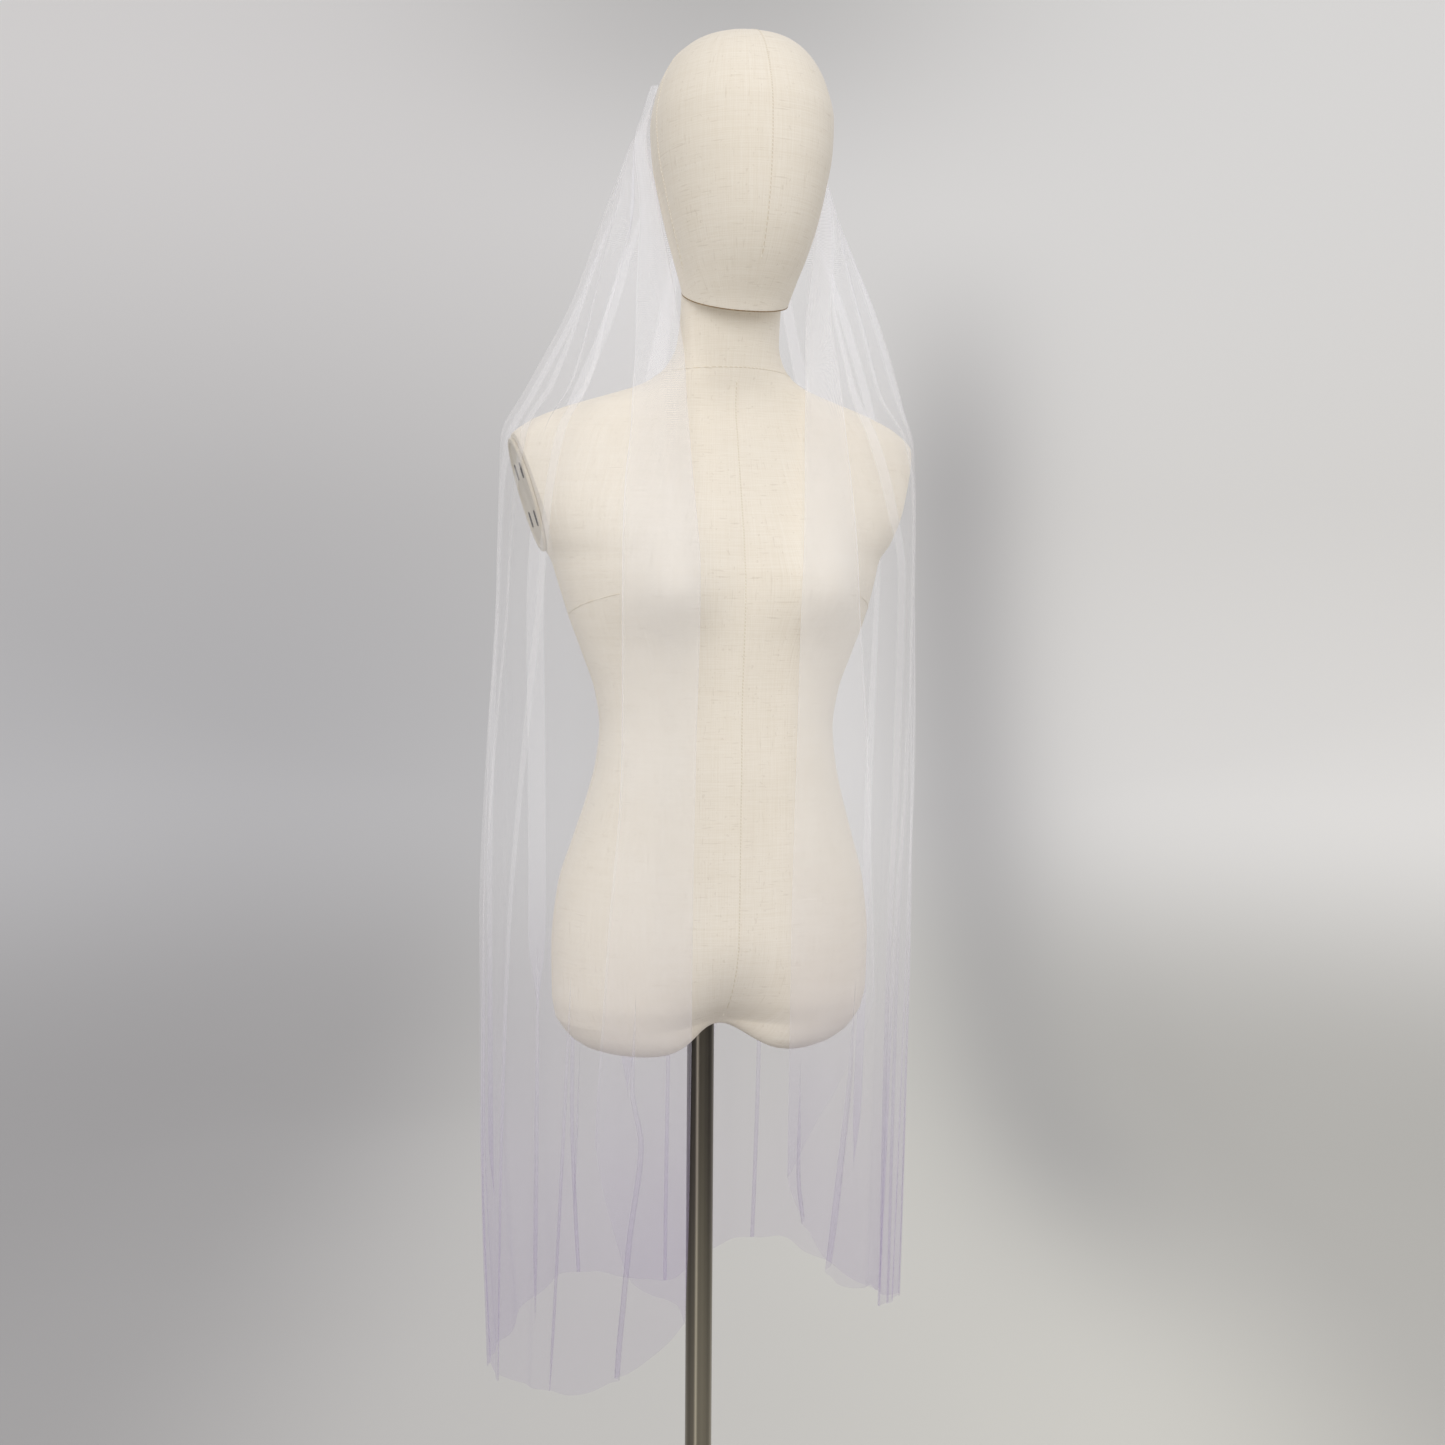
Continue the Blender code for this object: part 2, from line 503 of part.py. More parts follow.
class HangingSheet:
    """The veil's surface as a function of the share of its width and the height."""

    def __init__(self):
        self.levels = np.array(LEVELS[::-1])
        self.shares = np.array([line[0] for line in KEY_LINES.values()])
        self.across = [[p[0] / 1000.0 for p in line[1:]][::-1] for line in KEY_LINES.values()]
        self.depth = [[p[1] / 1000.0 for p in line[1:]][::-1] for line in KEY_LINES.values()]

    def base(self, share, height):
        """The section without folds."""
        xs = np.array([monotone(height, self.levels, row) for row in self.across])
        ys = np.array([monotone(height, self.levels, row) for row in self.depth])
        return across_keys(share, self.shares, xs), across_keys(share, self.shares, ys)

    def outward(self, share, height):
        """Unit outward direction of the section."""
        step = 0.004
        ahead = np.clip(share + step, self.shares[0], self.shares[-1])
        behind = np.clip(share - step, self.shares[0], self.shares[-1])
        xa, ya = self.base(ahead, height)
        xb, yb = self.base(behind, height)
        dx, dy = xa - xb, ya - yb
        size = np.hypot(dx, dy)
        return -dy / size, dx / size

    def spread(self, height):
        """How far the gathered cloth has opened out, 0 at the comb and 1 at the hem."""
        return np.interp(height, [row[0] for row in SPREAD], [row[1] for row in SPREAD])

    def fold_depth(self, share, height):
        """Outward swell of all the folds."""
        total = np.zeros_like(share)
        open_width = self.spread(height)
        for centre, half, deep, top, drift in FOLDS:
            middle = centre + drift * np.clip((1.3 - height) / 0.75, 0.0, 1.0)
            grown = smooth_step((top - height) / FOLD_EASE)
            offset = (share - middle) * SHEET_WIDTH * 1000.0 / half
            total += FOLD_FULLNESS * deep / 1000.0 * grown * open_width * np.exp(-offset * offset)
        gather = 0.5 - 0.5 * np.cos(2.0 * pi * GATHERS * (share - FLAP_LEFT) / (FLAP_RIGHT - FLAP_LEFT))
        fade = smooth_step((height - GATHER_END) / (VEIL_TOP - GATHER_END))
        return total + GATHER_DEPTH * gather * fade

    def point(self, share, height):
        """Points of the sheet's middle surface."""
        share = np.asarray(share, float)
        height = np.asarray(height, float)
        left = share < FLAP_LEFT
        right = share > FLAP_RIGHT
        turned = left | right
        part = np.where(left, (FLAP_LEFT - share) / FLAP_LEFT, 0.0)
        part = np.where(right, (share - FLAP_RIGHT) / (1.0 - FLAP_RIGHT), part)
        widths = {}
        for side, row in FLAP_WIDTHS.items():
            widths[side] = monotone(height, self.levels, row[::-1]) / 1000.0
        near_left = share < 0.5
        width = np.where(near_left, widths["left"], widths["right"])
        round_off = np.maximum(FOLD_ROUND_LEAST, FOLD_ROUND * np.clip(width / 0.060, 0.0, 1.0))

        next_left = np.full_like(share, self.shares[1])
        next_right = np.full_like(share, self.shares[-2])
        lx, ly = self.base(np.full_like(share, FLAP_LEFT), height)
        mx, my = self.base(next_left, height)
        rx, ry = self.base(np.full_like(share, FLAP_RIGHT), height)
        nx, ny = self.base(next_right, height)
        rate_left = np.hypot(mx - lx, my - ly) / (self.shares[1] - FLAP_LEFT)
        rate_right = np.hypot(nx - rx, ny - ry) / (FLAP_RIGHT - self.shares[-2])
        rate = np.where(near_left, rate_left, rate_right)
        from_fold = np.where(near_left, share - FLAP_LEFT, FLAP_RIGHT - share) * rate
        away = np.where(turned, part * width, from_fold)
        under = np.where(near_left, FLAP_LEFT + away / rate, FLAP_RIGHT - away / rate)
        under = np.where(turned, under, share)

        x, y = self.base(under, height)
        ox, oy = self.outward(under, height)
        short = np.clip(1.0 - away / round_off, 0.0, 1.0)
        turn = round_off * np.sqrt(1.0 - short * short)
        settle = 1.0 - smooth_step(away / (1.3 * width))
        lift = FLAP_LIFT * part * (0.35 + 0.65 * np.clip(width / 0.060, 0.0, 1.0))
        move = np.where(turned, turn + lift, -turn * settle) + self.fold_depth(under, height)
        return np.stack([x + ox * move, y + oy * move, height], axis=-1)


def hem_height(share):
    """Height of the hem at a share of the width."""
    return monotone(share, [row[0] for row in HEM], [row[1] for row in HEM])


def veil_columns():
    """Shares of the width where the wall has its columns: closer at folds and edges."""
    turn = np.array(TURN_STEPS)
    shares = [np.linspace(0.0, FLAP_LEFT - turn[-1], FLAP_COLUMNS), FLAP_LEFT - turn, FLAP_LEFT + turn]
    shares += [np.linspace(1.0, FLAP_RIGHT + turn[-1], FLAP_COLUMNS), FLAP_RIGHT - turn, FLAP_RIGHT + turn]
    crests = sorted(fold[0] + fold[4] * 0.6 for fold in FOLDS)
    valleys = [(a + b) / 2.0 for a, b in zip(crests, crests[1:])]
    flanks = [crest + FLANK_STEP for crest in crests if FLANK_ZONE[0] < crest < FLANK_ZONE[1]]
    shares += [np.array(crests), np.array(valleys), np.array(flanks)]
    merged = np.unique(np.round(np.concatenate(shares), 6))
    kept = [merged[0]]
    for value in merged[1:]:
        near_fold = min(abs(value - FLAP_LEFT), abs(value - FLAP_RIGHT)) < TURN_ZONE
        if value - kept[-1] > (TURN_LEAST_STEP if near_fold else LEAST_STEP):
            kept.append(value)
    return np.array(kept)


def grid_wall(bm, outer, inner, solid=None):
    """Close the space between two grids of points, over the cells marked solid."""
    rows, columns = outer.shape[:2]
    if solid is None:
        solid = np.ones((rows - 1, columns - 1), bool)
    made = {}

    def vertex(layer, i, j):
        key = (layer, i, j)
        if key not in made:
            made[key] = bm.verts.new((outer if layer else inner)[i, j])
        return made[key]

    def is_solid(i, j):
        return 0 <= i < rows - 1 and 0 <= j < columns - 1 and solid[i, j]

    for i in range(rows - 1):
        for j in range(columns - 1):
            if not solid[i, j]:
                continue
            corners = ((i, j), (i, j + 1), (i + 1, j + 1), (i + 1, j))
            bm.faces.new([vertex(1, *c) for c in corners])
            bm.faces.new([vertex(0, *c) for c in reversed(corners)])
            beyond = ((i - 1, j), (i, j + 1), (i + 1, j), (i, j - 1))
            for k, cell in enumerate(beyond):
                if not is_solid(*cell):
                    a, b = corners[k], corners[(k + 1) % 4]
                    bm.faces.new((vertex(1, *b), vertex(1, *a), vertex(0, *a), vertex(0, *b)))


def make_veil(material):
    """The veil's wall, with the same thickness on both sides of its middle surface."""
    sheet = HangingSheet()
    shares = veil_columns()
    hem = hem_height(shares)
    drop = np.array(ROW_DROPS)
    heights = VEIL_TOP + (hem[None, :] - VEIL_TOP) * drop[:, None]
    grid = np.broadcast_to(shares[None, :], heights.shape).ravel()
    points = sheet.point(grid, heights.ravel()).reshape(*heights.shape, 3)
    along = np.gradient(points, axis=0)
    over = np.gradient(points, axis=1)
    normal = np.cross(over, along)
    normal /= np.linalg.norm(normal, axis=-1, keepdims=True)
    bm = bmesh.new()
    grid_wall(bm, points + normal * WALL / 2.0, points - normal * WALL / 2.0)
    bmesh.ops.triangulate(bm, faces=bm.faces[:])
    return add_object("veil", bm, material, sharp_angle=FOLD_SHARP_ANGLE)


def crown_patch(half_width, top, lengths, inner_clear, thickness, columns):
    """Two grids of points that follow the back of the crown, a wall apart."""
    layers = []
    for clear in (inner_clear + thickness, inner_clear):
        rows = []
        for length in lengths:
            height = top - length
            row = []
            for x in np.linspace(-half_width, half_width, columns):
                half, front, back = section(HEAD_SECTIONS, height)
                half, front, back = half + clear, front - clear, back + clear
                power = SECTION_ROUNDNESS
                reach = (back - front) / 2.0
                y = (front + back) / 2.0 + reach * (1.0 - (abs(x) / half) ** power) ** (1.0 / power)
                row.append((x, y, height))
            rows.append(row)
        layers.append(np.array(rows))
    return layers


def make_comb(material):
    """Comb that follows the back of the crown: a spine and its teeth."""
    bm = bmesh.new()
    outer, inner = crown_patch(COMB_HALF_WIDTH, BAND_TOP, COMB_ROWS, COMB_CLEARANCE, COMB_THICKNESS,
                               COMB_COLUMNS)
    solid = np.ones((len(COMB_ROWS) - 1, COMB_COLUMNS - 1), bool)
    tooth = np.arange(COMB_COLUMNS - 1) % TOOTH_PITCH == 0
    solid[1:, :] = tooth[None, :]
    grid_wall(bm, outer, inner, solid)
    return add_object("comb", bm, material)


def make_band(material):
    """Narrow band that the gathers are sewn to, lying on the comb's spine."""
    bm = bmesh.new()
    clear = COMB_CLEARANCE + COMB_THICKNESS + BAND_GAP
    outer, inner = crown_patch(COMB_HALF_WIDTH, BAND_TOP, (0.0, BAND_HEIGHT), clear, BAND_THICKNESS,
                               BAND_COLUMNS)
    grid_wall(bm, outer, inner)
    return add_object("gathering_band", bm, material)


def main():
    """Build the stand from the floor up, then the comb, the band and the veil."""
    clear_scene()
    linen = finish("linen", LINEN, 0.85)
    steel = finish("brushed_steel", STEEL, 0.35, 1.0)
    plate = finish("arm_plate", PLATE_WHITE, 0.55)
    tulle = finish("tulle", TULLE_WHITE, 0.7)
    clear_comb = finish("comb", COMB_CLEAR, 0.25)
    make_base(steel)
    make_pole(steel)
    make_torso(linen)
    make_head(linen)
    make_arm_plate("arm_plate_right", -1.0, plate)
    make_arm_plate("arm_plate_left", 1.0, plate)
    make_comb(clear_comb)
    make_band(tulle)
    make_veil(tulle)


main()
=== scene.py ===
"""A gathered tulle bridal veil on a limbless linen dress form, dressed for a studio picture.

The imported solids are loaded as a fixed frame. Each class below builds one sub-assembly of
the stand or of the veil in the same place as its solid, in metres, and dresses it.
"""

import logging
from dataclasses import dataclass, field
from enum import Enum
from math import cos, pi, radians, sin, tan
from typing import Sequence

import bmesh
import bpy
import numpy as np
from mathutils import Matrix, Vector


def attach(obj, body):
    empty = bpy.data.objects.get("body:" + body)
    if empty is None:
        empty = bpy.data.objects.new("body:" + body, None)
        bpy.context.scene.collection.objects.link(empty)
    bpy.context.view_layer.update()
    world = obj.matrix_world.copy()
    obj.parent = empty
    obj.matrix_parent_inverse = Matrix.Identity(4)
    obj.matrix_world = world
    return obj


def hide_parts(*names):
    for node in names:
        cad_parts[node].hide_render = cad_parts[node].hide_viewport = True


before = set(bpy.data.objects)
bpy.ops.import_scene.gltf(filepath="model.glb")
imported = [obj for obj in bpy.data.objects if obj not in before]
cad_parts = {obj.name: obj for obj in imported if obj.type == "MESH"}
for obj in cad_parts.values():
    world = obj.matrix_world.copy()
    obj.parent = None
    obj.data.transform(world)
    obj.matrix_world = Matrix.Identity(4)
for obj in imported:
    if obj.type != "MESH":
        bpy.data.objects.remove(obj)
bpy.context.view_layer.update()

logging.basicConfig(level=logging.INFO, format="%(levelname)s %(message)s")
LOG = logging.getLogger("veil")

BODY = "root"
SHARE = "sheet_share"
Colour = tuple[float, float, float]
Point = tuple[float, float, float]


def srgb(red: float, green: float, blue: float) -> Colour:
    """Linear colour of a display colour.

    Args:
        red: its red, 0 to 255.
        green: its green, 0 to 255.
        blue: its blue, 0 to 255.

    Returns:
        The linear colour, 0 to 1.
    """

    def linear(value: float) -> float:
        """Linear value of one channel."""
        v = value / 255.0
        return v / 12.92 if v <= 0.04045 else ((v + 0.055) / 1.055) ** 2.4

    return linear(red), linear(green), linear(blue)


# Shader expressions.
class Signal:
    """A shader socket that takes part in Python expressions."""

    def __init__(self, graph: "Graph", socket: bpy.types.NodeSocket) -> None:
        """Keep the graph that the socket belongs to."""
        self.graph = graph
        self.socket = socket

    def _math(self, operation: str, *values: "Signal | float") -> "Signal":
        """Add a Math node over the values."""
        return self.graph.add("ShaderNodeMath", {"operation": operation}, list(values))

    def __add__(self, other: "Signal | float") -> "Signal":
        """Sum."""
        return self._math("ADD", self, other)

    __radd__ = __add__

    def __sub__(self, other: "Signal | float") -> "Signal":
        """Difference."""
        return self._math("SUBTRACT", self, other)

    def __rsub__(self, other: float) -> "Signal":
        """Difference from a number."""
        return self._math("SUBTRACT", other, self)

    def __mul__(self, other: "Signal | float") -> "Signal":
        """Product."""
        return self._math("MULTIPLY", self, other)

    __rmul__ = __mul__

    def __truediv__(self, other: "Signal | float") -> "Signal":
        """Quotient."""
        return self._math("DIVIDE", self, other)

    def __pow__(self, other: "Signal | float") -> "Signal":
        """Power."""
        return self._math("POWER", self, other)

    def __rpow__(self, other: float) -> "Signal":
        """Power of a number."""
        return self._math("POWER", other, self)

    def __neg__(self) -> "Signal":
        """Opposite."""
        return self * -1.0

    def sine(self) -> "Signal":
        """Sine."""
        return self._math("SINE", self)

    def size(self) -> "Signal":
        """Absolute value."""
        return self._math("ABSOLUTE", self)

    def at_least(self, floor: "Signal | float") -> "Signal":
        """Larger of the two."""
        return self._math("MAXIMUM", self, floor)

    def at_most(self, ceiling: "Signal | float") -> "Signal":
        """Smaller of the two."""
        return self._math("MINIMUM", self, ceiling)

    def angle_to(self, other: "Signal") -> "Signal":
        """Angle whose tangent is this over the other."""
        return self._math("ARCTAN2", self, other)

    def ramp(self, low: float, high: float, start: float = 0.0, end: float = 1.0) -> "Signal":
        """Eased step between two values.

        Args:
            low: value where the step starts.
            high: value where it ends.
            start: result below low.
            end: result above high.

        Returns:
            The stepped signal.
        """
        settings = {"interpolation_type": "SMOOTHSTEP", "clamp": True}
        return self.graph.add("ShaderNodeMapRange", settings, [self, low, high, start, end])


class Graph:
    """The node tree of one material or world."""

    def __init__(self, tree: bpy.types.NodeTree) -> None:
        """Empty the tree and add its output."""
        self.tree = tree
        tree.nodes.clear()

    def add(self, kind: str, settings: dict | None = None, values: Sequence | dict = (),
            out: int | str = 0) -> Signal:
        """Add a node.

        Args:
            kind: the node's type.
            settings: properties that are set first.
            values: socket values or links, in order or by name.
            out: the output that the result wraps.

        Returns:
            The chosen output.
        """
        node = self.tree.nodes.new(kind)
        for key, value in (settings or {}).items():
            setattr(node, key, value)
        pairs = values.items() if isinstance(values, dict) else enumerate(values)
        for key, value in pairs:
            if value is None:
                continue
            socket = node.inputs[key]
            if isinstance(value, Signal):
                self.tree.links.new(value.socket, socket)
            elif isinstance(value, tuple) and len(value) == 3 and len(socket.default_value) == 4:
                socket.default_value = (*value, 1.0)
            else:
                socket.default_value = value
        return Signal(self, node.outputs[out])

    def place(self) -> tuple[Signal, Signal, Signal]:
        """X, Y and Z of the shaded point in the object's own metres."""
        spot = self.add("ShaderNodeTexCoord", out="Object")
        return tuple(self.add("ShaderNodeSeparateXYZ", {}, [spot], out=i) for i in range(3))

    def join(self, x: Signal | float, y: Signal | float, z: Signal | float) -> Signal:
        """A vector from three values."""
        return self.add("ShaderNodeCombineXYZ", {}, [x, y, z])

    def noise(self, spot: Sequence, detail: float = 2.0, rough: float = 0.5) -> Signal:
        """Noise from 0 to 1.

        Args:
            spot: the three values of its place, in cells.
            detail: how many finer layers it has.
            rough: how strong those are.

        Returns:
            The noise.
        """
        values = {"Vector": self.join(*spot), "Scale": 1.0, "Detail": detail, "Roughness": rough}
        return self.add("ShaderNodeTexNoise", {}, values)

    def blend(self, share: Signal | float, first: Signal | Colour, second: Signal | Colour) -> Signal:
        """Mix two colours.

        Args:
            share: how much of the second shows.
            first: colour at 0.
            second: colour at 1.

        Returns:
            The mixed colour.
        """
        settings = {"data_type": "RGBA", "blend_type": "MIX"}
        return self.add("ShaderNodeMix", settings, {0: share, 6: first, 7: second}, out=2)

    def bump(self, height: Signal, depth: float, strength: float) -> Signal:
        """A normal from a height between 0 and 1, depth metres deep."""
        return self.add("ShaderNodeBump", {}, {"Height": height, "Distance": depth, "Strength": strength})

    def surface(self, shader: Signal) -> None:
        """Send a shader to the output."""
        output = self.tree.nodes.new("ShaderNodeOutputMaterial")
        self.tree.links.new(shader.socket, output.inputs["Surface"])

    def coat(self, values: dict) -> None:
        """Send a Principled shader with these socket values to the output."""
        self.surface(self.add("ShaderNodeBsdfPrincipled", {}, values))


def new_material(name: str) -> tuple[bpy.types.Material, Graph]:
    """Make an empty material.

    Args:
        name: its name.

    Returns:
        The material and its graph.
    """
    material = bpy.data.materials.new(name)
    material.use_nodes = True
    return material, Graph(material.node_tree)


# Finishes.
@dataclass(frozen=True)
class LinenFinish:
    """Plain-weave linen stretched over padding, with slubs and flecks."""

    name: str = "cream_linen"
    pale: Colour = srgb(245, 238, 225)
    deep: Colour = srgb(232, 222, 204)
    slub: Colour = srgb(170, 150, 122)
    thread_and_gap_shadow: float = 900.0
    middle: float = -0.045
    girth: float = 0.125

    def build(self) -> bpy.types.Material:
        """Make the material.

        Returns:
            The linen material.
        """
        material, g = new_material(self.name)
        x, y, z = g.place()
        around = x.angle_to(self.middle - y) * self.girth
        warp = g.noise((around * self.thread_and_gap_shadow * 2.0, z * 26.0, y * 3.0), 3.0, 0.6)
        weft = g.noise((around * 26.0, z * self.thread_and_gap_shadow * 2.0, y * 3.0), 3.0, 0.6)
        cross = (around * self.thread_and_gap_shadow * 2.0 * pi).sine() * (z * self.thread_and_gap_shadow * 2.0 * pi).sine()
        cloud = g.noise((x * 7.0, y * 7.0, z * 7.0), 3.0, 0.5)
        weave = (warp + weft) * 0.5
        slub_up = g.noise((around * 620.0, z * 60.0, y * 9.0), 1.0, 0.3).ramp(0.68, 0.78)
        slub_over = g.noise((around * 60.0, z * 620.0, y * 9.0 + 5.0), 1.0, 0.3).ramp(0.68, 0.78)
        fleck = g.noise((x * 420.0, y * 420.0, z * 300.0), 0.0, 0.2).ramp(0.74, 0.82)
        tone = weave.ramp(0.30, 0.70) * 0.7 + cloud.ramp(0.3, 0.7) * 0.3
        colour = g.blend(tone, self.deep, self.pale)
        marks = (slub_up * 0.5 + slub_over * 0.6 + fleck * 0.5).at_most(1.0)
        colour = g.blend(marks * 0.26, colour, self.slub)
        height = weave * 0.7 + cross * 0.12 + marks * 0.3
        normal = g.bump(height, 0.0004, 0.35)
        g.coat({
            "Base Color": colour, "Roughness": 0.9, "Normal": normal,
            "Specular IOR Level": 0.22, "Sheen Weight": 0.12, "Sheen Roughness": 0.5,
        })
        return material


@dataclass(frozen=True)
class SeamFinish:
    """The pressed linen seam, with its stitches."""

    name: str = "linen_seam"
    pale: Colour = srgb(246, 240, 228)
    deep: Colour = srgb(224, 212, 190)
    stitch: float = 0.0030

    def build(self) -> bpy.types.Material:
        """Make the material.

        Returns:
            The seam material.
        """
        material, g = new_material(self.name)
        x, y, z = g.place()
        run = (z + x * 0.7 + y * 0.7) * (2.0 * pi / self.stitch)
        mark = run.sine().ramp(-0.2, 0.9)
        grain = g.noise((x * 900.0, y * 900.0, z * 300.0), 2.0, 0.5)
        colour = g.blend(mark * 0.6 + grain * 0.4, self.deep, self.pale)
        g.coat({
            "Base Color": colour, "Roughness": 0.88, "Normal": g.bump(mark + grain * 0.4, 0.0004, 0.6),
            "Specular IOR Level": 0.2,
        })
        return material


@dataclass(frozen=True)
class PlateFinish:
    """Matt cream lacquer of the arm plates, darker where rubbed in random patches."""

    name: str = "cream_lacquer"
    body: Colour = srgb(214, 206, 190)
    rubbed: Colour = srgb(188, 178, 160)

    def build(self) -> bpy.types.Material:
        """Make the material.

        Returns:
            The lacquer material.
        """
        material, g = new_material(self.name)
        x, y, z = g.place()
        cloud = g.noise((x * 60.0, y * 60.0, z * 60.0), 4.0, 0.6)
        fine = g.noise((x * 900.0, y * 900.0, z * 900.0), 2.0, 0.5)
        colour = g.blend(cloud.ramp(0.45, 0.75) * 0.5, self.body, self.rubbed)
        g.coat({
            "Base Color": colour, "Roughness": cloud * 0.2 + 0.38, "Normal": g.bump(fine, 0.0002, 0.3),
        })
        return material


@dataclass(frozen=True)
class SlotShadowPaint:
    """Painted shadow: the dark bottom of a slot, standing in for the shade inside it."""

    name: str = "slot_shadow"
    body: Colour = srgb(48, 44, 46)

    def build(self) -> bpy.types.Material:
        """Make the material.

        Returns:
            The slot's material.
        """
        material, g = new_material(self.name)
        x, y, z = g.place()
        # The slot's dark colour is painted shade, mottled lighter by noise.
        dust = g.noise((x * 500.0, y * 500.0, z * 500.0), 3.0, 0.6)
        colour = g.blend(dust * 0.4, self.body, srgb(84, 78, 76))
        g.coat({"Base Color": colour, "Roughness": 0.8})
        return material


class Grain(Enum):
    """Which way a steel surface was brushed."""

    ALONG = "along the pole"
    ROUND = "round the plate"


@dataclass(frozen=True)
class SteelFinish:
    """Brushed stainless steel; along the pole its colour holds painted reflection bands."""

    name: str
    grain: Grain
    bright: Colour = srgb(158, 152, 142)
    dark: Colour = srgb(84, 80, 76)
    rough: float = 0.22
    # facing is the angle round the pole towards the picture; each streak is a painted reflection band: angle,
    # narrowness, strength.
    facing: float = 3.403
    painted_reflection_streaks: tuple = (  # angle, narrowness, strength
        (-0.20, 110.0, 0.56), (-1.15, 40.0, 0.09), (1.20, 40.0, 0.16), (0.75, 60.0, -0.035),
        (-0.75, 60.0, -0.035), (0.25, 50.0, 0.02),
    )

    def reflections(self, turn: Signal) -> Signal:
        """Painted reflections: upright light and dark bands on both halves of the pole.

        Args:
            turn: the angle round the pole.

        Returns:
            The bands' brightness.
        """
        total = turn * 0.0
        for angle, narrow, strength in self.painted_reflection_streaks:
            swing = ((self.facing - angle - turn) * 2.0 + pi / 2.0).sine()
            total = total + ((swing * 0.5 + 0.5).at_least(0.001) ** narrow) * strength
        return total

    def build(self) -> bpy.types.Material:
        """Make the material.

        Returns:
            The steel material.
        """
        material, g = new_material(self.name)
        x, y, z = g.place()
        if self.grain is Grain.ALONG:
            turn = x.angle_to(y)
            lines = g.noise((turn * 20.0, z * 0.5, 2.0), 5.0, 0.7)
            # Along the pole the colour is painted reflection bands, painted lighter towards the bottom, over
            # the brushed lines.
            bands = self.reflections(turn) + z.ramp(0.86, 0.42) * 0.19 + lines * 0.06 + 0.055
        else:
            reach = (x * x + y * y) ** 0.5
            lines = g.noise((reach * 900.0, x.angle_to(y) * 2.0, z * 90.0), 5.0, 0.65)
            bands = g.noise((x * 6.0, y * 6.0, 0.0), 2.0, 0.5) * 0.7 + lines * 0.5 - 0.2
        tone = bands.at_least(0.0).at_most(1.0)
        colour = g.blend(tone, self.dark, self.bright)
        g.coat({
            "Base Color": colour, "Metallic": 1.0, "Roughness": lines * 0.16 + self.rough,
            "Normal": g.bump(lines, 0.0002, 0.25),
        })
        return material


@dataclass(frozen=True)
class TulleFinish:
    """Soft net, white at the crown and dyed to lilac over its lowest third."""

    name: str = "tulle"
    white: Colour = srgb(249, 249, 252)
    lilac: Colour = srgb(164, 148, 186)
    cover: float = 0.100
    cover_low: float = 0.145
    fade: tuple[float, float] = (0.58, 1.08)
    mesh: float = 0.0016
    turned_away: float = 1.4
    hem_line: float = 0.0022

    def build(self) -> bpy.types.Material:
        """Make the material.

        Returns:
            The tulle material.
        """
        material, g = new_material(self.name)
        x, y, z = g.place()
        around = x.angle_to(-0.05 - y) * 0.20
        share = g.add("ShaderNodeAttribute", {"attribute_name": SHARE}, out="Fac")
        drift = g.noise((x * 9.0, y * 9.0, z * 3.0), 3.0, 0.6)
        dyed = (z + (drift - 0.5) * 0.16).ramp(self.fade[0], self.fade[1], 1.0, 0.0)
        colour = g.blend(dyed, self.white, self.lilac)
        pitch = 2.0 * pi / self.mesh
        row = (z * pitch).sine()
        slant = ((around + z * 0.5) * pitch).sine()
        other = ((around - z * 0.5) * pitch).sine()
        net = (row + slant + other) * 0.10
        front_edge = (share - 0.5).size().ramp(0.385, 0.43)
        gathered = z.ramp(1.15, 1.50) * 0.45 + z.ramp(1.48, 1.72) * 3.2
        gathered = gathered + front_edge * z.ramp(0.90, 1.45) * 1.10
        streak = g.noise((share * 30.0, z * 0.4, 1.0), 2.0, 0.5) - 0.5
        fine = g.noise((share * 240.0, z * 0.8, 3.0), 2.0, 0.5) - 0.5
        uneven = streak * (0.30 + gathered * 0.26) + fine * 0.04
        rim = (share - 0.5).size().ramp(0.5 - self.hem_line, 0.5)
        cover = (dyed * (self.cover_low - self.cover) + self.cover) * (1.0 + net * 0.5 + uneven + rim * 1.2)
        facing = g.add("ShaderNodeLayerWeight", {}, {"Blend": 0.5}, out="Facing")
        layers = (1.0 + gathered) * (1.0 + (facing ** 4.0) * (z.ramp(1.55, 1.25) * self.turned_away))
        opaque = 1.0 - (1.0 - cover) ** layers
        front = g.add("ShaderNodeBsdfPrincipled", {}, {
            "Base Color": colour, "Roughness": 0.75, "Specular IOR Level": 0.25,
            "Sheen Weight": 0.25, "Sheen Roughness": 0.4,
        })
        through = g.add("ShaderNodeBsdfTranslucent", {}, {"Color": colour})
        cloth = g.add("ShaderNodeMixShader", {}, [0.5, front, through])
        clear = g.add("ShaderNodeBsdfTransparent", {}, {"Color": (1.0, 1.0, 1.0)})
        g.surface(g.add("ShaderNodeMixShader", {}, [opaque, clear, cloth]))
        return material


@dataclass(frozen=True)
class RibbonFinish:
    """Narrow satin binding of the gathers."""

    name: str = "satin_binding"
    body: Colour = srgb(238, 236, 240)
    deep: Colour = srgb(206, 202, 212)

    def build(self) -> bpy.types.Material:
        """Make the material.

        Returns:
            The binding's material.
        """
        material, g = new_material(self.name)
        x, y, z = g.place()
        ribs = (x * (2.0 * pi / 0.0012)).sine()
        cloud = g.noise((x * 90.0, y * 90.0, z * 300.0), 3.0, 0.6)
        colour = g.blend(cloud * 0.6 + ribs * 0.1, self.body, self.deep)
        g.coat({
            "Base Color": colour, "Roughness": 0.42, "Normal": g.bump(ribs * 0.5 + cloud, 0.0002, 0.4),
            "Sheen Weight": 0.3,
        })
        return material


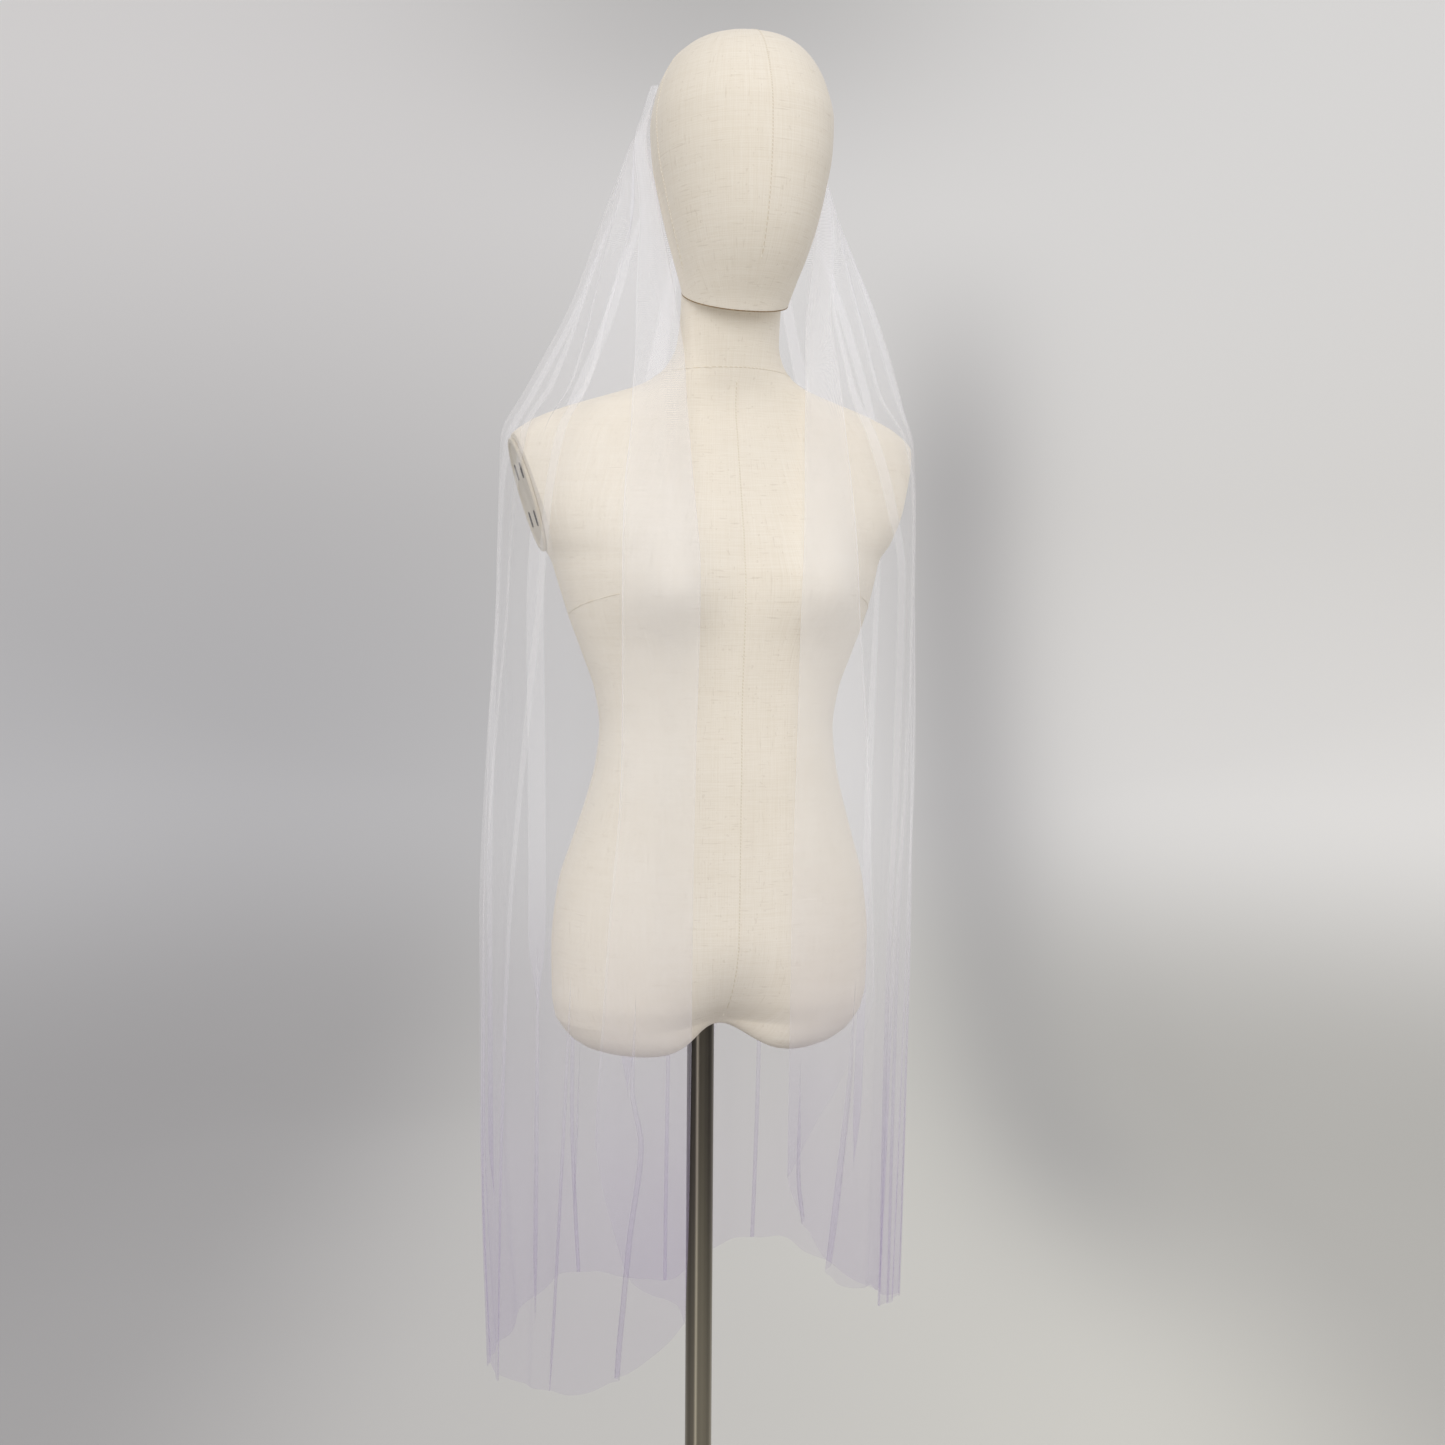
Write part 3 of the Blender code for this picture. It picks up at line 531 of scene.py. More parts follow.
@dataclass(frozen=True)
class CombFinish:
    """Clear moulded comb."""

    name: str = "clear_comb"
    body: Colour = srgb(236, 236, 232)

    def build(self) -> bpy.types.Material:
        """Make the material.

        Returns:
            The comb's material.
        """
        material, g = new_material(self.name)
        x, y, z = g.place()
        flow = g.noise((x * 220.0, y * 60.0, z * 60.0), 2.0, 0.5)
        colour = g.blend(flow * 0.4, self.body, srgb(206, 206, 202))
        g.coat({
            "Base Color": colour, "Roughness": flow * 0.1 + 0.12, "Alpha": 0.55,
            "Coat Weight": 0.4, "Coat Roughness": 0.1,
        })
        return material


# Curves and meshes.
def smooth_step(value: np.ndarray) -> np.ndarray:
    """Ease from 0 to 1."""
    t = np.clip(value, 0.0, 1.0)
    return t * t * (3.0 - 2.0 * t)


def eased(t: np.ndarray, width: np.ndarray, ends: tuple, slopes: tuple) -> np.ndarray:
    """Cubic between two points.

    Args:
        t: place between them, from 0 to 1.
        width: how far apart they are.
        ends: their values.
        slopes: the curve's slopes there.

    Returns:
        The curve's values.
    """
    first = ends[0] * (1 + 2 * t) * (1 - t) ** 2 + slopes[0] * width * t * (1 - t) ** 2
    last = ends[1] * t * t * (3 - 2 * t) + slopes[1] * width * t * t * (t - 1)
    return first + last


def monotone(x: np.ndarray, xs: Sequence[float], ys: Sequence[float]) -> np.ndarray:
    """Smooth curve through points that never overshoots.

    Args:
        x: where the curve is read.
        xs: rising places of the points.
        ys: values of the points.

    Returns:
        The curve's values at x.
    """
    xs = np.asarray(xs, float)
    ys = np.asarray(ys, float)
    step = np.diff(xs)
    slope = np.diff(ys) / step
    tangent = np.zeros_like(ys)
    tangent[0], tangent[-1] = slope[0], slope[-1]
    same = slope[:-1] * slope[1:] > 0.0
    wa = 2.0 * step[1:] + step[:-1]
    wb = step[1:] + 2.0 * step[:-1]
    inner = np.zeros(len(slope) - 1)
    inner[same] = ((wa + wb)[same]) / (wa[same] / slope[:-1][same] + wb[same] / slope[1:][same])
    tangent[1:-1] = inner
    x = np.clip(np.asarray(x, float), xs[0], xs[-1])
    i = np.clip(np.searchsorted(xs, x, side="right") - 1, 0, len(step) - 1)
    h = step[i]
    t = (x - xs[i]) / h
    return eased(t, h, (ys[i], ys[i + 1]), (tangent[i], tangent[i + 1]))


def oval(half: np.ndarray, front: np.ndarray, back: np.ndarray, angle: np.ndarray, roundness: float) -> tuple:
    """Points of oval sections; angle 0 is +X and a quarter turn is the back.

    Args:
        half: half width of each section.
        front: its frontmost Y.
        back: its rearmost Y.
        angle: direction round the section.
        roundness: exponent of the oval.

    Returns:
        X and Y.
    """
    power = 2.0 / roundness
    c, s = np.cos(angle), np.sin(angle)
    x = half * np.sign(c) * np.abs(c) ** power
    y = (front + back) / 2.0 + (back - front) / 2.0 * np.sign(s) * np.abs(s) ** power
    return x, y


def mesh_piece(name: str, points: np.ndarray, faces: Sequence, material: bpy.types.Material,
               sharp: float = 180.0) -> bpy.types.Object:
    """Make a smooth-shaded object from points and faces.

    Args:
        name: the piece's name.
        points: its vertices.
        faces: its polygons.
        material: its finish.
        sharp: angle in degrees over which an edge stays crisp.

    Returns:
        The new object, riding on the stand.
    """
    mesh = bpy.data.meshes.new(name)
    mesh.from_pydata([tuple(p) for p in np.asarray(points, float).tolist()], [], faces)
    mesh.update()
    return dress(name, mesh, material, sharp)


def bmesh_piece(name: str, bm: bmesh.types.BMesh, material: bpy.types.Material,
                sharp: float) -> bpy.types.Object:
    """Make a smooth-shaded object from a bmesh, which is then freed.

    Args:
        name: the piece's name.
        bm: its mesh.
        material: its finish.
        sharp: angle in degrees over which an edge stays crisp.

    Returns:
        The new object, riding on the stand.
    """
    bmesh.ops.recalc_face_normals(bm, faces=bm.faces[:])
    mesh = bpy.data.meshes.new(name)
    bm.to_mesh(mesh)
    bm.free()
    return dress(name, mesh, material, sharp)


def dress(name: str, mesh: bpy.types.Mesh, material: bpy.types.Material, sharp: float) -> bpy.types.Object:
    """Link a mesh as a piece of the stand.

    Args:
        name: the piece's name.
        mesh: its mesh.
        material: its finish.
        sharp: angle in degrees over which an edge stays crisp.

    Returns:
        The new object.
    """
    mesh.shade_smooth()
    if sharp < 180.0:
        mesh.set_sharp_from_angle(angle=radians(sharp))
    mesh.materials.append(material)
    piece = bpy.data.objects.new(name, mesh)
    bpy.context.scene.collection.objects.link(piece)
    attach(piece, BODY)
    LOG.info("%s: %d faces", name, len(mesh.polygons))
    return piece


def grid_faces(rows: int, columns: int, closed: bool = False) -> list[tuple[int, int, int, int]]:
    """Quads of a grid of points.

    Args:
        rows: number of rows.
        columns: number of columns.
        closed: whether the last column joins the first.

    Returns:
        The quads' vertex numbers.
    """
    faces = []
    span = columns if closed else columns - 1
    for i in range(rows - 1):
        for j in range(span):
            k = (j + 1) % columns
            faces.append((i * columns + j, i * columns + k, (i + 1) * columns + k, (i + 1) * columns + j))
    return faces


def closed_faces(rows: int, columns: int) -> list[tuple[int, ...]]:
    """Quads of closed rings of points, with a face over each end."""
    return grid_faces(rows, columns, closed=True) + [
        tuple(range(columns)), tuple(range((rows - 1) * columns, rows * columns))]


def tube_points(path: np.ndarray, radius: float | np.ndarray, sides: int) -> tuple[np.ndarray, list]:
    """A round tube along a path, closed at its ends.

    Args:
        path: the centre line's points.
        radius: one radius, or one for each point.
        sides: number of sides.

    Returns:
        The points and the faces.
    """
    path = np.asarray(path, float)
    count = len(path)
    radius = np.broadcast_to(np.asarray(radius, float), (count,))
    along = np.gradient(path, axis=0)
    along /= np.linalg.norm(along, axis=1, keepdims=True)
    side = np.cross(along[0], (0.0, 0.0, 1.0))
    if np.linalg.norm(side) < 0.1:
        side = np.cross(along[0], (1.0, 0.0, 0.0))
    points = []
    turn = np.arange(sides) * 2.0 * pi / sides
    for i in range(count):
        side = side - along[i] * np.dot(side, along[i])
        side /= np.linalg.norm(side)
        other = np.cross(along[i], side)
        ring = path[i] + radius[i] * (np.cos(turn)[:, None] * side + np.sin(turn)[:, None] * other)
        points.append(ring)
    return np.concatenate(points), closed_faces(count, sides)


def ring_mesh(rows: Sequence[np.ndarray]) -> tuple[bmesh.types.BMesh, list]:
    """A mesh through closed rings of points, with a face over the first.

    Args:
        rows: the rings' points, from the bottom up.

    Returns:
        The mesh and its rings of corners.
    """
    bm = bmesh.new()
    rings = [[bm.verts.new(p) for p in row.tolist()] for row in rows]
    for low, high in zip(rings, rings[1:]):
        for i, corner in enumerate(low):
            j = (i + 1) % len(low)
            bm.faces.new((corner, low[j], high[j], high[i]))
    bm.faces.new(rings[0])
    return bm, rings


def join_parts(parts: Sequence[tuple[np.ndarray, list]]) -> tuple[np.ndarray, list]:
    """Several point and face lists as one.

    Args:
        parts: the points and faces of each part.

    Returns:
        The points and the faces.
    """
    points, faces, start = [], [], 0
    for some, made in parts:
        points.append(some)
        faces += [tuple(v + start for v in face) for face in made]
        start += len(some)
    return np.concatenate(points), faces


# The dress form.
SECTION_ROUNDNESS = 2.15
FORM_HEIGHT = 1.750
NECK_JOINT = (-0.095, 1.530)  # Y and Z of the joint's middle
NECK_TILT = radians(20.0)
PLATE_CENTRE = (0.1745, -0.030, 1.352)
PLATE_LEAN = radians(17.0)
POLE_RADIUS = 0.01325


@dataclass
class Torso:
    """Linen-covered bust, waist and hips with the neck."""

    sections: tuple = (  # height, half width, front Y, back Y
        (0.862, 0.1490, -0.1235, 0.0535), (0.885, 0.1530, -0.1325, 0.0585), (0.930, 0.1535, -0.138, 0.063),
        (0.985, 0.1480, -0.140, 0.062), (1.035, 0.1335, -0.1415, 0.052), (1.070, 0.1225, -0.142, 0.044),
        (1.105, 0.1140, -0.143, 0.039), (1.138, 0.1105, -0.143, 0.037), (1.170, 0.1150, -0.144, 0.037),
        (1.205, 0.1270, -0.147, 0.038), (1.240, 0.1400, -0.149, 0.041), (1.275, 0.1508, -0.148, 0.045),
        (1.295, 0.1572, -0.145, 0.047), (1.310, 0.1697, -0.143, 0.049), (1.345, 0.1930, -0.135, 0.051),
        (1.380, 0.1985, -0.126, 0.050), (1.403, 0.1935, -0.1205, 0.044), (1.418, 0.1760, -0.116, 0.034),
        (1.431, 0.1450, -0.114, 0.021), (1.441, 0.1120, -0.1145, 0.008),
        (1.449, 0.0850, -0.1165, -0.004), (1.458, 0.0660, -0.120, -0.015),
        (1.470, 0.0535, -0.124, -0.027), (1.487, 0.0465, -0.130, -0.038), (1.508, 0.0450, -0.1365, -0.0465),
        (1.560, 0.0450, -0.147, -0.056),
    )
    # Size of each ring below the hips and how far down it lies, as shares.
    underside_rings: tuple = (
        (0.02, 1.0), (0.30, 1.0), (0.52, 0.995), (0.72, 0.94), (0.85, 0.75), (0.935, 0.42),
    )
    hip_middle: tuple[float, float] = (0.0, -0.030)
    crotch: float = 0.856
    leg_bottom: float = 0.829
    leg_gap: float = 0.038
    bust: tuple[float, float] = (0.078, 1.268)
    bust_depth: float = 0.040
    bust_reach: tuple[float, float, float] = (0.050, 0.0416, 0.065)
    cleft_top: float = 0.955
    cleft_rise: float = 0.095
    cleft_half: float = 0.042
    cleft_front: float = 0.048
    cleft_back: float = 0.022
    armhole_lowest: float = 1.23
    rings: int = 170
    sides: int = 144
    seam_radius: float = 0.00065
    middle_seams: tuple[float, float] = (0.868, 1.452)
    side_seams: tuple[float, float] = (0.866, 1.286)
    neck_seam: float = 1.4595
    dart: tuple[float, float, float] = (1.2425, 0.018, radians(42.0))

    def surface(self, height: np.ndarray, angle: np.ndarray) -> np.ndarray:
        """Points of the torso's surface.

        Args:
            height: heights of the points.
            angle: directions round the torso.

        Returns:
            The points.
        """
        height, angle = np.broadcast_arrays(np.asarray(height, float), np.asarray(angle, float))
        heights = [row[0] for row in self.sections]
        half, front, back = [monotone(height, heights, [row[k] for row in self.sections]) for k in (1, 2, 3)]
        x, y = oval(half, front, back, angle, SECTION_ROUNDNESS)
        forward = np.maximum(0.0, -np.sin(angle))
        rearward = np.maximum(0.0, np.sin(angle))
        across = (np.abs(x) - self.bust[0]) / self.bust_reach[0]
        rise = height - self.bust[1]
        rise = rise / np.where(rise < 0.0, self.bust_reach[1], self.bust_reach[2])
        y = y - self.bust_depth * np.exp(-across * across - rise * rise) * forward ** 0.5
        low = np.maximum(0.0, (self.cleft_top - height) / self.cleft_rise)
        middle = np.exp(-(x / self.cleft_half) ** 2)
        y = y + self.cleft_front * low * low * middle * forward
        y = y - self.cleft_back * low * low * middle * rearward
        return np.stack([x, y, height], axis=-1)

    def underside(self, x: np.ndarray) -> np.ndarray:
        """Height of the underside across the two leg ends."""
        return self.leg_bottom + (self.crotch - self.leg_bottom) * np.exp(-(x / self.leg_gap) ** 2)

    def outward(self, height: np.ndarray, angle: np.ndarray, lift: float) -> np.ndarray:
        """Points raised off the surface.

        Args:
            height: heights of the points.
            angle: directions round the torso.
            lift: how far out they lie.

        Returns:
            The points.
        """
        step = 1e-3
        here = self.surface(height, angle)
        over = self.surface(height, angle + step) - self.surface(height, angle - step)
        up = self.surface(height + step, angle) - self.surface(height - step, angle)
        normal = np.cross(over, up)
        normal /= np.linalg.norm(normal, axis=-1, keepdims=True)
        return here + normal * lift

    def body(self) -> bmesh.types.BMesh:
        """The closed torso, cut at the neck and at both armholes.

        Returns:
            The mesh.
        """
        angles = np.arange(self.sides) * 2.0 * pi / self.sides
        start, end = self.sections[0][0], self.sections[-1][0]
        outline = self.surface(start, angles)
        scales = [row[0] for row in self.underside_rings] + [1.0]
        drops = [row[1] for row in self.underside_rings] + [0.0]
        rows = []
        for t in np.concatenate([np.linspace(0.02, 0.9, 14), np.linspace(0.915, 0.995, 9)]):
            drop = float(monotone(np.array(t), scales, drops))
            x = self.hip_middle[0] + (outline[:, 0] - self.hip_middle[0]) * t
            y = self.hip_middle[1] + (outline[:, 1] - self.hip_middle[1]) * t
            rows.append(np.stack([x, y, start + (self.underside(x) - start) * drop], axis=-1))
        for height in np.linspace(start, end, self.rings):
            rows.append(self.surface(height, angles))
        bm, rings = ring_mesh(rows)
        bm.faces.new(rings[-1])
        cut_flat(bm, (0.0, *NECK_JOINT), (0.0, -sin(NECK_TILT), cos(NECK_TILT)), 0.0016)
        for side in (-1.0, 1.0):
            x, y, z = PLATE_CENTRE
            normal = (side * cos(PLATE_LEAN), 0.0, -sin(PLATE_LEAN))
            cut_flat(bm, (side * x, y, z), normal, 0.0012, self.armhole_lowest)
        return bm

    def seams(self) -> list[np.ndarray]:
        """Centre lines of the cover's seams, laid just proud of the linen.

        Returns:
            The points of each seam.
        """
        lift = -self.seam_radius * 0.35
        up = np.linspace(*self.middle_seams, 160)
        side = np.linspace(*self.side_seams, 110)
        lines = [self.outward(up, np.full_like(up, -pi / 2.0), lift)]
        lines.append(self.outward(up, np.full_like(up, pi / 2.0), lift))
        for turn in (0.0, pi):
            lines.append(self.outward(side, np.full_like(side, turn), lift))
        round_neck = np.linspace(0.0, 2.0 * pi, 90)
        lines.append(self.outward(self.neck_seam - 0.004 * np.sin(round_neck), round_neck, lift))
        share = np.linspace(0.0, 1.0, 26)
        start, rise, swing = self.dart
        for turn, way in ((pi, 1.0), (0.0, -1.0)):
            lines.append(self.outward(start + rise * share, turn + way * share * swing, lift))
        return lines

    def build(self, linen: bpy.types.Material, seam: bpy.types.Material) -> list[bpy.types.Object]:
        """Build the torso and its seams.

        Args:
            linen: the cover's finish.
            seam: the seams' finish.

        Returns:
            The pieces.
        """
        torso = bmesh_piece("linen_torso", self.body(), linen, 50.0)
        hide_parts("torso")
        points, faces = join_parts([tube_points(line, self.seam_radius, 6) for line in self.seams()])
        seams = mesh_piece("torso_seams", points, faces, seam)
        return [torso, seams]


def cut_flat(bm: bmesh.types.BMesh, point: Point, normal: Point, ease: float, lowest: float = 0.0) -> None:
    """Cut a mesh by a plane, drop what lies beyond, close it flat and ease the rim.

    Args:
        bm: the mesh.
        point: a point of the plane.
        normal: the side that is dropped.
        ease: width of the eased rim.
        lowest: faces that reach below this height stay whole.
    """
    faces = [face for face in bm.faces if min(v.co.z for v in face.verts) > lowest]
    corners = dict.fromkeys(corner for face in faces for corner in face.verts)
    edges = dict.fromkeys(edge for face in faces for edge in face.edges)
    geometry = [*corners, *edges, *faces]
    cut = bmesh.ops.bisect_plane(bm, geom=geometry, plane_co=point, plane_no=normal, clear_outer=True)
    cut_edges = [item for item in cut["geom_cut"] if isinstance(item, bmesh.types.BMEdge)]
    filled = bmesh.ops.edgenet_fill(bm, edges=cut_edges)["faces"]
    rim = dict.fromkeys(edge for face in filled for edge in face.edges)
    bmesh.ops.bevel(bm, geom=list(rim), offset=ease, segments=2, profile=0.6, affect="EDGES",
                    clamp_overlap=True)


@dataclass
class Head:
    """Egg-shaped head in a four-gore linen cover."""

    sections: tuple = (  # height, half width, front Y, back Y
        (1.490, 0.0380, -0.149, -0.062), (1.515, 0.0445, -0.165, -0.057), (1.535, 0.0495, -0.184, -0.053),
        (1.555, 0.0560, -0.200, -0.048), (1.580, 0.0635, -0.2125, -0.041), (1.610, 0.0705, -0.2205, -0.033),
        (1.645, 0.0770, -0.224, -0.0275), (1.672, 0.0785, -0.2225, -0.0265), (1.700, 0.0735, -0.213, -0.031),
        (1.722, 0.0640, -0.199, -0.040), (1.738, 0.0490, -0.180, -0.056), (1.747, 0.0300, -0.156, -0.079),
    )
    top: tuple[float, float] = (-0.117, FORM_HEIGHT)
    cap_start: float = 1.72
    gap: float = 0.0003
    sides: int = 112
    seam_radius: float = 0.00055
    seam_start: float = 1.545
    seam_turns: tuple = (-90.0, 90.0, -176.0, -4.0)
    joint_radius: float = 0.0009

    def fullness(self, height: np.ndarray) -> list[np.ndarray]:
        """The head's reach at heights, closing roundly at the top.

        Args:
            height: the heights.

        Returns:
            Half width, front and back.
        """
        heights = [row[0] for row in self.sections]
        last = self.sections[-1]
        under = np.minimum(height, last[0])
        values = [monotone(under, heights, [row[k] for row in self.sections]) for k in (1, 2, 3)]
        share = np.clip((height - last[0]) / (self.top[1] - last[0]), 0.0, 1.0)
        close = np.sqrt(1.0 - share)
        ends = (0.0, self.top[0], self.top[0])
        return [end + (value - end) * close for value, end in zip(values, ends)]

    def surface(self, height: np.ndarray, angle: np.ndarray) -> np.ndarray:
        """Points of the head's surface.

        Args:
            height: heights of the points.
            angle: directions round the head.

        Returns:
            The points.
        """
        height, angle = np.broadcast_arrays(np.asarray(height, float), np.asarray(angle, float))
        x, y = oval(*self.fullness(height), angle, SECTION_ROUNDNESS)
        return np.stack([x, y, height], axis=-1)

    def crown(self, x: np.ndarray, height: float, clear: float) -> np.ndarray:
        """Y of the back of the head.

        Args:
            x: places across the head.
            height: the height.
            clear: how far off the head the line lies.

        Returns:
            Y at each x.
        """
        half, front, back = [float(v) for v in self.fullness(np.array(height))]
        half, front, back = half + clear, front - clear, back + clear
        inside = np.clip(1.0 - (np.abs(x) / half) ** SECTION_ROUNDNESS, 0.0, 1.0)
        return (front + back) / 2.0 + (back - front) / 2.0 * inside ** (1.0 / SECTION_ROUNDNESS)

    def seams(self) -> list[np.ndarray]:
        """Centre lines of the gores' seams.

        Returns:
            The points of each seam.
        """
        lines = []
        up = self.seam_start + (self.top[1] - self.seam_start) * np.sin(np.linspace(0.0, pi / 2.0, 110))
        middle = np.array([0.0, -0.12, 1.640])
        for turn in self.seam_turns:
            line = self.surface(up, np.full_like(up, radians(turn)))
            lines.append(line + (middle - line) * 0.001)
        return lines

    def joint_line(self) -> np.ndarray:
        """The line round the head's lower rim, where it meets the neck, along which a dark tube is the gap's
        painted shadow.

        Returns:
            The line's points.
        """
        turn = np.linspace(0.0, 2.0 * pi, 97)
        y, z = NECK_JOINT
        height = np.full_like(turn, z)
        for _ in range(12):
            height = z + tan(NECK_TILT) * (self.surface(height, turn)[:, 1] - y)
        rim = self.surface(height, turn)
        centre = np.array([0.0, y, z])
        return rim + (centre - rim) * 0.012

    def build(self, linen: bpy.types.Material, seam: bpy.types.Material,
              thread_and_gap_shadow: bpy.types.Material) -> list[bpy.types.Object]:
        """Build the head, its seams and the dark line at the neck's joint, a painted shadow of the gap there.

        Args:
            linen: the cover's finish.
            seam: the seams' finish.
            thread_and_gap_shadow: the finish of the joint's line, its painted shadow.

        Returns:
            The pieces.
        """
        start, end = self.sections[0][0], self.top[1]
        cap = self.cap_start
        closing = cap + (end - cap) * np.sin(np.linspace(0.0, 1.53, 28))
        heights = np.concatenate([np.linspace(start, cap, 84)[:-1], closing])
        angles = np.arange(self.sides) * 2.0 * pi / self.sides
        bm, rings = ring_mesh([self.surface(h, angles) for h in heights])
        tip = bm.verts.new((0.0, *self.top))
        for i in range(self.sides):
            bm.faces.new((rings[-1][i], rings[-1][(i + 1) % self.sides], tip))
        y, z = NECK_JOINT
        seat = (0.0, y - self.gap * sin(NECK_TILT), z + self.gap * cos(NECK_TILT))
        cut_flat(bm, seat, (0.0, sin(NECK_TILT), -cos(NECK_TILT)), 0.0016)
        head = bmesh_piece("linen_head", bm, linen, 50.0)
        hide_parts("head")
        points, faces = join_parts([tube_points(line, self.seam_radius, 6) for line in self.seams()])
        seams = mesh_piece("head_seams", points, faces, seam)
        # A dark tube round the joint: a painted shadow of the gap between head and neck.
        points, faces = tube_points(self.joint_line(), self.joint_radius, 6)
        joint = mesh_piece("joint_gap_shadow", points, faces, thread_and_gap_shadow)
        return [head, seams, joint]


@dataclass
class ArmPlate:
    """Oval plate of one armhole, with its rim and four slots."""

    node: str
    side: float
    half: tuple[float, float] = (0.036, 0.054)
    thickness: float = 0.003
    rim: float = 0.0045
    points: int = 96
    slot_centres: tuple[float, float] = (0.021, 0.032)
    slot_size: tuple[float, float] = (0.0085, 0.0150)

    def place(self) -> Matrix:
        """Where the plate sits in its armhole.

        Returns:
            Its placing.
        """
        x, y, z = PLATE_CENTRE
        out = 0.0003
        spot = Vector((self.side * (x + out * cos(PLATE_LEAN)), y, z - out * sin(PLATE_LEAN)))
        turn = PLATE_LEAN if self.side > 0 else pi - PLATE_LEAN
        return Matrix.Translation(spot) @ Matrix.Rotation(turn, 4, "Y")

    def loop(self, inset: float, height: float) -> np.ndarray:
        """One oval loop of the plate, in its own axes.

        Args:
            inset: how far inside the rim it lies.
            height: how far out it lies.

        Returns:
            The loop's points.
        """
        a = np.arange(self.points) * 2.0 * pi / self.points
        y = (self.half[0] - inset) * np.cos(a)
        z = (self.half[1] - inset) * np.sin(a)
        return np.stack([np.full_like(a, height), y, z], axis=-1)

    def build(self, lacquer: bpy.types.Material, slot: bpy.types.Material) -> list[bpy.types.Object]:
        """Build the plate and its slots.

        Args:
            lacquer: the plate's finish.
            slot: the slots' finish, dark as a painted shadow.

        Returns:
            The pieces.
        """
        top = self.thickness
        rim = self.rim
        profile = ((0.0, 0.0), (0.0, top * 0.55), (0.0004, top * 0.85), (0.0012, top),
                   (rim, top), (rim + 0.0006, top - 0.0007), (rim + 0.004, top - 0.0009))
        rows = np.concatenate([self.loop(*row) for row in profile])
        faces = closed_faces(len(profile), self.points)
        plate = mesh_piece(self.node + "_lacquered", rows, faces, lacquer, 40.0)
        plate.data.transform(self.place())
        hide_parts(self.node)
        parts = []
        # The slots are dark oblongs painted as the shade inside them.
        for turn in range(4):
            a = radians(45.0 + 90.0 * turn)
            parts.append(self.slot_ring(self.slot_centres[0] * cos(a), self.slot_centres[1] * sin(a)))
        points, made = join_parts(parts)
        slots = mesh_piece(self.node + "_slots", points, made, slot, 40.0)
        slots.data.transform(self.place())
        return [plate, slots]

    def slot_ring(self, y: float, z: float) -> tuple[np.ndarray, list]:
        """A dark oblong let into the plate, with round ends: the slot's painted shadow.

        Args:
            y: its middle across the plate.
            z: its middle along the plate.

        Returns:
            The points and the faces.
        """
        count = 28
        a = np.arange(count) * 2.0 * pi / count
        half_y, half_z = self.slot_size[0] / 2.0, self.slot_size[1] / 2.0
        ring_y = y + half_y * np.sign(np.cos(a)) * np.abs(np.cos(a)) ** 0.6
        ring_z = z + half_z * np.sign(np.sin(a)) * np.abs(np.sin(a)) ** 0.6
        low = np.stack([np.full(count, self.thickness - 0.0016), ring_y, ring_z], axis=-1)
        high = np.stack([np.full(count, self.thickness - 0.0007), ring_y, ring_z], axis=-1)
        return np.concatenate([low, high]), closed_faces(2, count)


# The stand.
@dataclass
class Pole:
    """Round steel tube from the base plate into the torso."""

    radius: float = POLE_RADIUS
    low: float = 0.0083
    high: float = 0.898
    sides: int = 96

    def build(self, steel: bpy.types.Material) -> bpy.types.Object:
        """Build the pole.

        Args:
            steel: its finish.

        Returns:
            The piece.
        """
        heights = np.linspace(self.low, self.high, 60)
        path = np.stack([np.zeros(60), np.zeros(60), heights], axis=-1)
        points, faces = tube_points(path, self.radius, self.sides)
        pole = mesh_piece("steel_pole", points, faces, steel, 40.0)
        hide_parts("pole")
        return pole


@dataclass
class BasePlate:
    """Round steel base plate with an eased edge and the pole's weld."""

    radius: float = 0.170
    thickness: float = 0.008
    ease: float = 0.003
    sides: int = 160
    weld: float = 0.004

    def build(self, steel: bpy.types.Material) -> bpy.types.Object:
        """Build the plate with a small weld at its middle.

        Args:
            steel: its finish.

        Returns:
            The piece.
        """
        profile = [(0.001, 0.0), (self.radius - 0.0008, 0.0), (self.radius, 0.0008)]
        for step in range(7):
            a = pi / 2.0 * step / 6.0
            inset = self.ease * (1.0 - cos(a))
            profile.append((self.radius - inset, self.thickness - self.ease * (1.0 - sin(a))))
        for reach in (0.14, 0.10, 0.06, 0.03):
            profile.append((reach, self.thickness))
        for step in range(7):
            a = pi / 2.0 * step / 6.0
            reach = POLE_RADIUS + 0.0002 + self.weld * (1.0 - sin(a))
            profile.append((reach, self.thickness + self.weld * (1.0 - cos(a))))
        profile.append((0.001, self.thickness + self.weld))
        a = np.arange(self.sides) * 2.0 * pi / self.sides
        rows = [np.stack([r * np.cos(a), r * np.sin(a), np.full_like(a, z)], axis=-1) for r, z in profile]
        faces = closed_faces(len(rows), self.sides)
        base = mesh_piece("steel_base", np.concatenate(rows), faces, steel, 40.0)
        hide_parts("base_plate")
        return base


# The veil.
VEIL_TOP = 1.716
FLAP_LEFT = 0.055  # share of the width where the left edge is turned back
FLAP_RIGHT = 0.945  # share of the width where the right edge is turned back
BAND_HALF = 0.058


